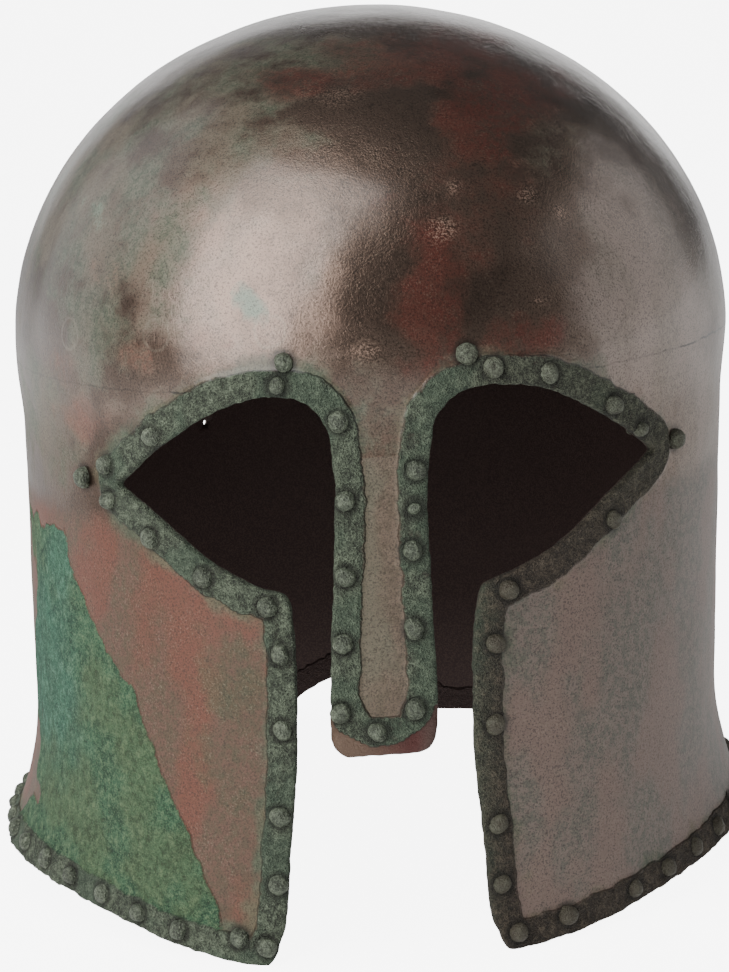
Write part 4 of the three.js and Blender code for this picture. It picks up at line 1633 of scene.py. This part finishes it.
@dataclass(frozen=True)
class RivetSetter:
    """A Geometry Nodes tree that sets a domed head and a clenched tail at every point of a mesh."""

    rivets: Rivets
    head_detail: int = 4
    tail_detail: int = 2
    lumps: float = 1.1
    lump_size: float = 2.6
    shoulder: float = 0.8
    underside: float = 0.3

    def tree(self) -> bpy.types.NodeTree:
        """Builds the tree.

        Returns:
            A tree with its sizes as named inputs, in metres.
        """
        tree = bpy.data.node_groups.new("Set rivets", "GeometryNodeTree")
        tree.interface.new_socket("Geometry", in_out="INPUT", socket_type="NodeSocketGeometry")
        for label in ("Head Radius", "Head Height", "Tail Radius", "Tail Height", "Lumps", "Lump Size"):
            tree.interface.new_socket(label, in_out="INPUT", socket_type="NodeSocketFloat")
        tree.interface.new_socket("Seed", in_out="INPUT", socket_type="NodeSocketInt")
        tree.interface.new_socket("Material", in_out="INPUT", socket_type="NodeSocketMaterial")
        tree.interface.new_socket("Geometry", in_out="OUTPUT", socket_type="NodeSocketGeometry")
        given = tree.nodes.new("NodeGroupInput").outputs
        s = Sketch(tree)
        outward = self.named(s, "outward", "FLOAT_VECTOR")
        inward = s.scaled(outward, -1.0)
        heads = self.instances(
            s, given, given["Geometry"], self.button(s, self.head_detail), outward,
            "Head Radius", "Head Height",
        )
        grip = self.named(s, "grip", "FLOAT")
        sunk = s.add("ShaderNodeVectorMath", {0: inward, "Scale": grip}, operation="SCALE").outputs[0]
        behind = s.add("GeometryNodeSetPosition", {"Geometry": given["Geometry"], "Offset": sunk})
        tails = self.instances(
            s, given, behind.outputs[0], self.button(s, self.tail_detail), inward,
            "Tail Radius", "Tail Height",
        )
        both = s.add("GeometryNodeJoinGeometry", {})
        for part in (heads, tails):
            tree.links.new(part, both.inputs[0])
        real = s.add("GeometryNodeRealizeInstances", {"Geometry": both.outputs[0]})
        lumpy = s.add("GeometryNodeSetPosition", {"Geometry": real.outputs[0], "Offset": self.lump(s, given)})
        smooth = s.add("GeometryNodeSetShadeSmooth", {"Geometry": lumpy.outputs[0]})
        dressed = s.add(
            "GeometryNodeSetMaterial", {"Geometry": smooth.outputs[0], "Material": given["Material"]}
        )
        tree.links.new(dressed.outputs[0], tree.nodes.new("NodeGroupOutput").inputs[0])
        return tree

    @staticmethod
    def named(s: Sketch, name: str, kind: str) -> Socket:
        """Reads an attribute of the points."""
        node = s.add("GeometryNodeInputNamedAttribute", {"Name": name}, data_type=kind)
        return node.outputs["Attribute"]

    def button(self, s: Sketch, detail: int) -> Socket:
        """A round button of unit size with a full shoulder and a flat underside."""
        ball = s.add("GeometryNodeMeshIcoSphere", {"Radius": 1.0, "Subdivisions": detail}).outputs["Mesh"]
        axes = s.add("ShaderNodeSeparateXYZ", {0: s.add("GeometryNodeInputPosition", {}).outputs[0]})
        over = s.sum("POWER", s.sum("MAXIMUM", axes.outputs["Z"], 0.0), self.shoulder)
        under = s.sum("MULTIPLY", s.sum("MINIMUM", axes.outputs["Z"], 0.0), self.underside)
        shaped = s.add(
            "ShaderNodeCombineXYZ",
            {"X": axes.outputs["X"], "Y": axes.outputs["Y"], "Z": s.sum("ADD", over, under)},
        )
        moved = s.add("GeometryNodeSetPosition", {"Geometry": ball, "Position": shaped.outputs[0]})
        return moved.outputs[0]

    def instances(
        self,
        s: Sketch,
        given: bpy.types.NodeOutputs,
        points: Socket,
        button: Socket,
        axis: Socket,
        radius: str,
        height: str,
    ) -> Socket:
        """Sets a button at each point, along an axis.

        Args:
            s: The tree's sketch.
            given: The tree's inputs.
            points: The points.
            button: What is set on them.
            axis: Its own up.
            radius: The input that holds its radius.
            height: The input that holds its height.

        Returns:
            The instances.
        """
        turned = s.add("FunctionNodeAlignRotationToVector", {"Vector": axis}, axis="Z")
        spin = self.random(s, given, (0.0, 0.0, 0.0), (0.0, 0.0, math.tau), 0)
        about = s.add(
            "FunctionNodeRotateRotation",
            {"Rotation": turned.outputs[0], "Rotate By": spin},
            rotation_space="LOCAL",
        )
        size = s.add("ShaderNodeCombineXYZ", {"X": given[radius], "Y": given[radius], "Z": given[height]})
        uneven = self.random(s, given, (0.9, 0.82, 0.85), (1.06, 1.0, 1.08), 1)
        scale = s.add("ShaderNodeVectorMath", {0: size.outputs[0], 1: uneven}, operation="MULTIPLY")
        own = self.named(s, "swell", "FLOAT_VECTOR")
        scale = s.add("ShaderNodeVectorMath", {0: scale.outputs[0], 1: own}, operation="MULTIPLY")
        made = s.add(
            "GeometryNodeInstanceOnPoints",
            {"Points": points, "Instance": button, "Rotation": about.outputs[0], "Scale": scale.outputs[0]},
        )
        return made.outputs[0]

    @staticmethod
    def random(
        s: Sketch, given: bpy.types.NodeOutputs, low: tuple, high: tuple, shift: int
    ) -> Socket:
        """A random vector for each point, from the tree's seed."""
        seed = s.sum("ADD", given["Seed"], float(shift))
        inputs = {"Min": low, "Max": high, "Seed": seed}
        node = s.add("FunctionNodeRandomValue", inputs, data_type="FLOAT_VECTOR")
        return node.outputs[0]

    @staticmethod
    def lump(s: Sketch, given: bpy.types.NodeOutputs) -> Socket:
        """How far each vertex moves for the lumps."""
        where = s.add("GeometryNodeInputPosition", {}).outputs[0]
        scale = s.sum("DIVIDE", 1.0, given["Lump Size"])
        field_ = s.add("ShaderNodeTexNoise", {"Vector": where, "Scale": scale, "Detail": 3.0})
        rise = s.sum("MULTIPLY", s.sum("SUBTRACT", field_.outputs[0], 0.5), given["Lumps"])
        normal = s.add("GeometryNodeInputNormal", {}).outputs[0]
        return s.add("ShaderNodeVectorMath", {0: normal, "Scale": rise}, operation="SCALE").outputs[0]

    def place(
        self,
        name: str,
        points: np.ndarray,
        outward: np.ndarray,
        grips: np.ndarray,
        swells: np.ndarray,
        seed: int,
        material: bpy.types.Material,
    ) -> bpy.types.Object:
        """Sets one lot of rivets and turns it into a plain mesh.

        Args:
            name: The piece's name.
            points: Where they stand, on the frame, in millimetres.
            outward: Their axes.
            grips: How deep each one goes before its tail.
            swells: Their own scales.
            seed: The seed of their unevenness.
            material: Their finish.

        Returns:
            The finished piece.
        """
        made = make_object(name, points, np.empty((0, 3), int))
        for label, values in (("outward", outward), ("grip", grips * MM), ("swell", swells)):
            write_attribute(made, label, values)
        modifier = made.modifiers.new("Set rivets", "NODES")
        tree = self.tree()
        modifier.node_group = tree
        values = {
            "Head Radius": self.rivets.head_radius * MM,
            "Head Height": self.rivets.head_height * MM,
            "Tail Radius": self.rivets.tail_radius * MM,
            "Tail Height": self.rivets.tail_height * MM,
            "Lumps": self.lumps * MM,
            "Lump Size": self.lump_size * MM,
            "Seed": seed,
            "Material": material,
        }
        for item in tree.interface.items_tree:
            if item.in_out == "INPUT" and item.name in values:
                modifier[item.identifier] = values[item.name]
        evaluated = made.evaluated_get(bpy.context.evaluated_depsgraph_get())
        mesh = bpy.data.meshes.new_from_object(evaluated)
        made.modifiers.clear()
        made.data = mesh
        mesh.name = name
        return made


# ---------------------------------------------------------------- the studio


@dataclass(frozen=True)
class SoftBox:
    """A soft light: where it hangs round the helmet, its size in metres, and its strength."""

    name: str
    turn: float
    elevation: float
    distance: float
    width: float
    height: float
    radiance: float
    colour: Colour = (1.0, 1.0, 1.0)


SOFT_BOXES = (
    SoftBox("key", -41, 39, 1.0, 0.72, 1.65, 3.9, (1.0, 0.985, 0.97)),
    SoftBox("left wall", -120, 20, 1.2, 0.9, 1.6, 0.88, (0.97, 0.99, 1.0)),
    SoftBox("right wall", 97, 14, 1.2, 1.45, 1.3, 0.6, (1.0, 0.99, 0.98)),
)


@dataclass
class Studio:
    """The camera, the lights, a pale floor and a pale surround."""

    seat: Seat
    yaw: float = -0.85
    elevation: float = 10.0
    roll: float = -3.31
    distance: float = 1200.0
    target: tuple[float, float, float] = (-4.3, 0.0, -46.0)
    lens: float = 154.26
    sensor: float = 36.0
    floor_size: float = 12.0
    behind_band: tuple[float, float] = (0.9, 0.96)
    low_band: tuple[float, float] = (0.36, 0.22)
    sky_seen: float = 0.9
    dark: float = 0.12
    pale: float = 1.4
    floor_glow: float = 0.45
    floor_seen: float = 7.0

    def aimed(self, spot: Vector, back: Vector, up: Vector) -> Matrix:
        """A placement that looks along minus back."""
        right = up.cross(back).normalized()
        level = back.cross(right).normalized()
        turn = Matrix((right, level, back)).transposed().to_4x4()
        return Matrix.Translation(spot) @ turn

    def add_camera(self) -> None:
        """Sets the camera, drawn level with the ring and seated with the helmet."""
        a, e, r = (math.radians(v) for v in (self.yaw, self.elevation, self.roll))
        back = np.array([math.sin(a) * math.cos(e), -math.cos(a) * math.cos(e), math.sin(e)])
        right = np.array([math.cos(a), math.sin(a), 0.0])
        up = np.cross(back, right)
        up = -right * math.sin(r) + up * math.cos(r)
        spot = self.seat.stand((np.array(self.target) + back * self.distance)[None])[0]
        data = bpy.data.cameras.new("camera")
        data.sensor_width = self.sensor
        data.lens = self.lens
        data.clip_start, data.clip_end = 0.05, 50.0
        made = bpy.data.objects.new("camera", data)
        bpy.context.scene.collection.objects.link(made)
        aim_back, aim_up = self.seat.aim(np.array([back, up]))
        made.matrix_world = self.aimed(Vector(spot) * MM, Vector(aim_back), Vector(aim_up))
        bpy.context.scene.camera = made

    def add_lights(self, centre: Vector) -> None:
        """Hangs the soft boxes round a point."""
        for box in SOFT_BOXES:
            t, e = math.radians(box.turn), math.radians(box.elevation)
            back = Vector((math.sin(t) * math.cos(e), -math.cos(t) * math.cos(e), math.sin(e)))
            data = bpy.data.lights.new(box.name, "AREA")
            data.shape, data.size, data.size_y = "RECTANGLE", box.width, box.height
            data.energy = box.radiance * math.pi * box.width * box.height
            data.color = box.colour
            made = bpy.data.objects.new(box.name, data)
            bpy.context.scene.collection.objects.link(made)
            made.matrix_world = self.aimed(centre + back * box.distance, back, Vector((0, 0, 1)))

    def add_surround(self) -> None:
        """A surround that looks pale, and lights the metal dark from the front and pale from behind."""
        world = bpy.data.worlds.new("studio")
        bpy.context.scene.world = world
        world.use_nodes = True
        tree = world.node_tree
        tree.nodes.clear()
        s = Sketch(tree)
        axes = s.add("ShaderNodeSeparateXYZ", {0: s.add("ShaderNodeTexCoord", {}).outputs["Generated"]})
        behind = s.step(axes.outputs["Y"], *self.behind_band)
        low = s.step(axes.outputs["Z"], *self.low_band)
        light = s.step(s.sum("MULTIPLY", behind, low), 0.0, 1.0, self.dark, self.pale)
        seen = s.add("ShaderNodeLightPath", {}).outputs["Is Camera Ray"]
        node = s.add("ShaderNodeMix", {}, data_type="FLOAT")
        for index, value in ((0, seen), (2, light), (3, self.sky_seen)):
            s.put(node.inputs[index], value)
        shade = s.add("ShaderNodeCombineColor", {0: node.outputs[0], 1: node.outputs[0], 2: node.outputs[0]})
        back = s.add("ShaderNodeBackground", {"Color": shade.outputs[0], "Strength": 1.0})
        tree.links.new(back.outputs[0], s.add("ShaderNodeOutputWorld", {}).inputs[0])

    def add_floor(self) -> None:
        """A plain pale floor."""
        half = self.floor_size / 2 / MM
        corners = np.array([[-half, -half, 0], [half, -half, 0], [half, half, 0], [-half, half, 0]])
        floor = make_object("floor", corners, np.array([[0, 1, 2, 3]]))
        paint, sketch, _ = new_material("pale floor")
        seen = sketch.add("ShaderNodeLightPath", {}).outputs["Is Camera Ray"]
        glow = sketch.step(seen, 0.0, 1.0, self.floor_glow, self.floor_seen)
        shader = sketch.add(
            "ShaderNodeBsdfPrincipled",
            {"Base Color": (0.8, 0.8, 0.79), "Roughness": 0.8, "Emission Color": (1.0, 1.0, 1.0)},
        )
        sketch.put(shader.inputs["Emission Strength"], glow)
        paint.node_tree.links.new(shader.outputs[0], sketch.add("ShaderNodeOutputMaterial", {}).inputs[0])
        floor.data.materials.append(paint)

    def build(self) -> None:
        """Builds the studio round the helmet."""
        low, high = (Vector(corner) for corner in CAD_BOUNDS)
        self.add_camera()
        self.add_lights((low + high) / 2)
        self.add_surround()
        self.add_floor()


# ---------------------------------------------------------------- the helmet


@dataclass
class Helmet:
    """The whole helmet: the sheet and its rivets, on their body."""

    chart: Chart
    rivets: Rivets
    sheet: Sheet
    seat: Seat
    edge_grip: float = 2.2

    @classmethod
    def drawn(cls) -> "Helmet":
        """Draws the helmet's parts and finds where they stand on the frame."""
        form = Form()
        chart = Chart(form)
        rivets = Rivets(chart)
        boxes = [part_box(name) for name in rivets.names()]
        packed = np.array([[(a + b) / 2 for a, b in zip(*box)] for box in boxes]) / MM
        seat = Seat.fitted(rivets.middles(), packed, form)
        return cls(chart, rivets, Sheet(chart, Outline()), seat)

    def dress(self, piece: bpy.types.Object, nodes: Iterable[str] = ()) -> None:
        """Sets a piece on its body, in place of its CAD nodes."""
        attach(piece, "root")
        if nodes:
            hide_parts(*nodes)
        LOG.info("%s: %d faces", piece.name, len(piece.data.polygons))

    def add_sheet(self, effects: Effects) -> None:
        """Builds and dresses the sheet."""
        feet = np.vstack([self.rivets.face_seats()[0], self.rivets.edge_seats()[0]])
        made = self.sheet.build(self.seat, feet)
        made.data.materials.append(BronzeFinish(effects, self.seat).build())
        self.dress(made, ["helmet_shell"])

    def add_rivets(self, effects: Effects) -> None:
        """Sets and dresses the rivets of the face and of the lower edge."""
        material = RivetFinish(effects).build()
        setter = RivetSetter(self.rivets)
        points, outward, grips = self.rivets.face_seats()
        points = points + outward * self.sheet.hammer(points)[:, None]
        swells = np.ones((len(points), 3))
        for i, name in enumerate(self.rivets.names()):
            swells[i] = self.rivets.shapes.get(name.removeprefix("rivet_"), (1.0, 1.0, 1.0))
        face = setter.place(
            "face_rivets", self.standing(points), self.seat.aim(outward), grips, swells, 3, material
        )
        self.dress(face, self.rivets.names())
        points, outward = self.rivets.edge_seats()
        points = points + outward * self.sheet.hammer(points)[:, None]
        grips = np.full(len(points), self.edge_grip)
        swells = np.ones((len(points), 3))
        edge = setter.place(
            "edge_rivets", self.standing(points), self.seat.aim(outward), grips, swells, 8, material
        )
        self.dress(edge)

    def standing(self, points: np.ndarray) -> np.ndarray:
        """Leans points and moves them to the frame."""
        return self.seat.stand(self.seat.lean(points))


def main() -> None:
    """Builds the helmet and its studio."""
    logging.basicConfig(level=logging.INFO, format="%(name)s: %(message)s")
    helmet = Helmet.drawn()
    effects = Effects.build()
    helmet.add_sheet(effects)
    helmet.add_rivets(effects)
    Studio(helmet.seat).build()


if __name__ == "__main__":
    main()
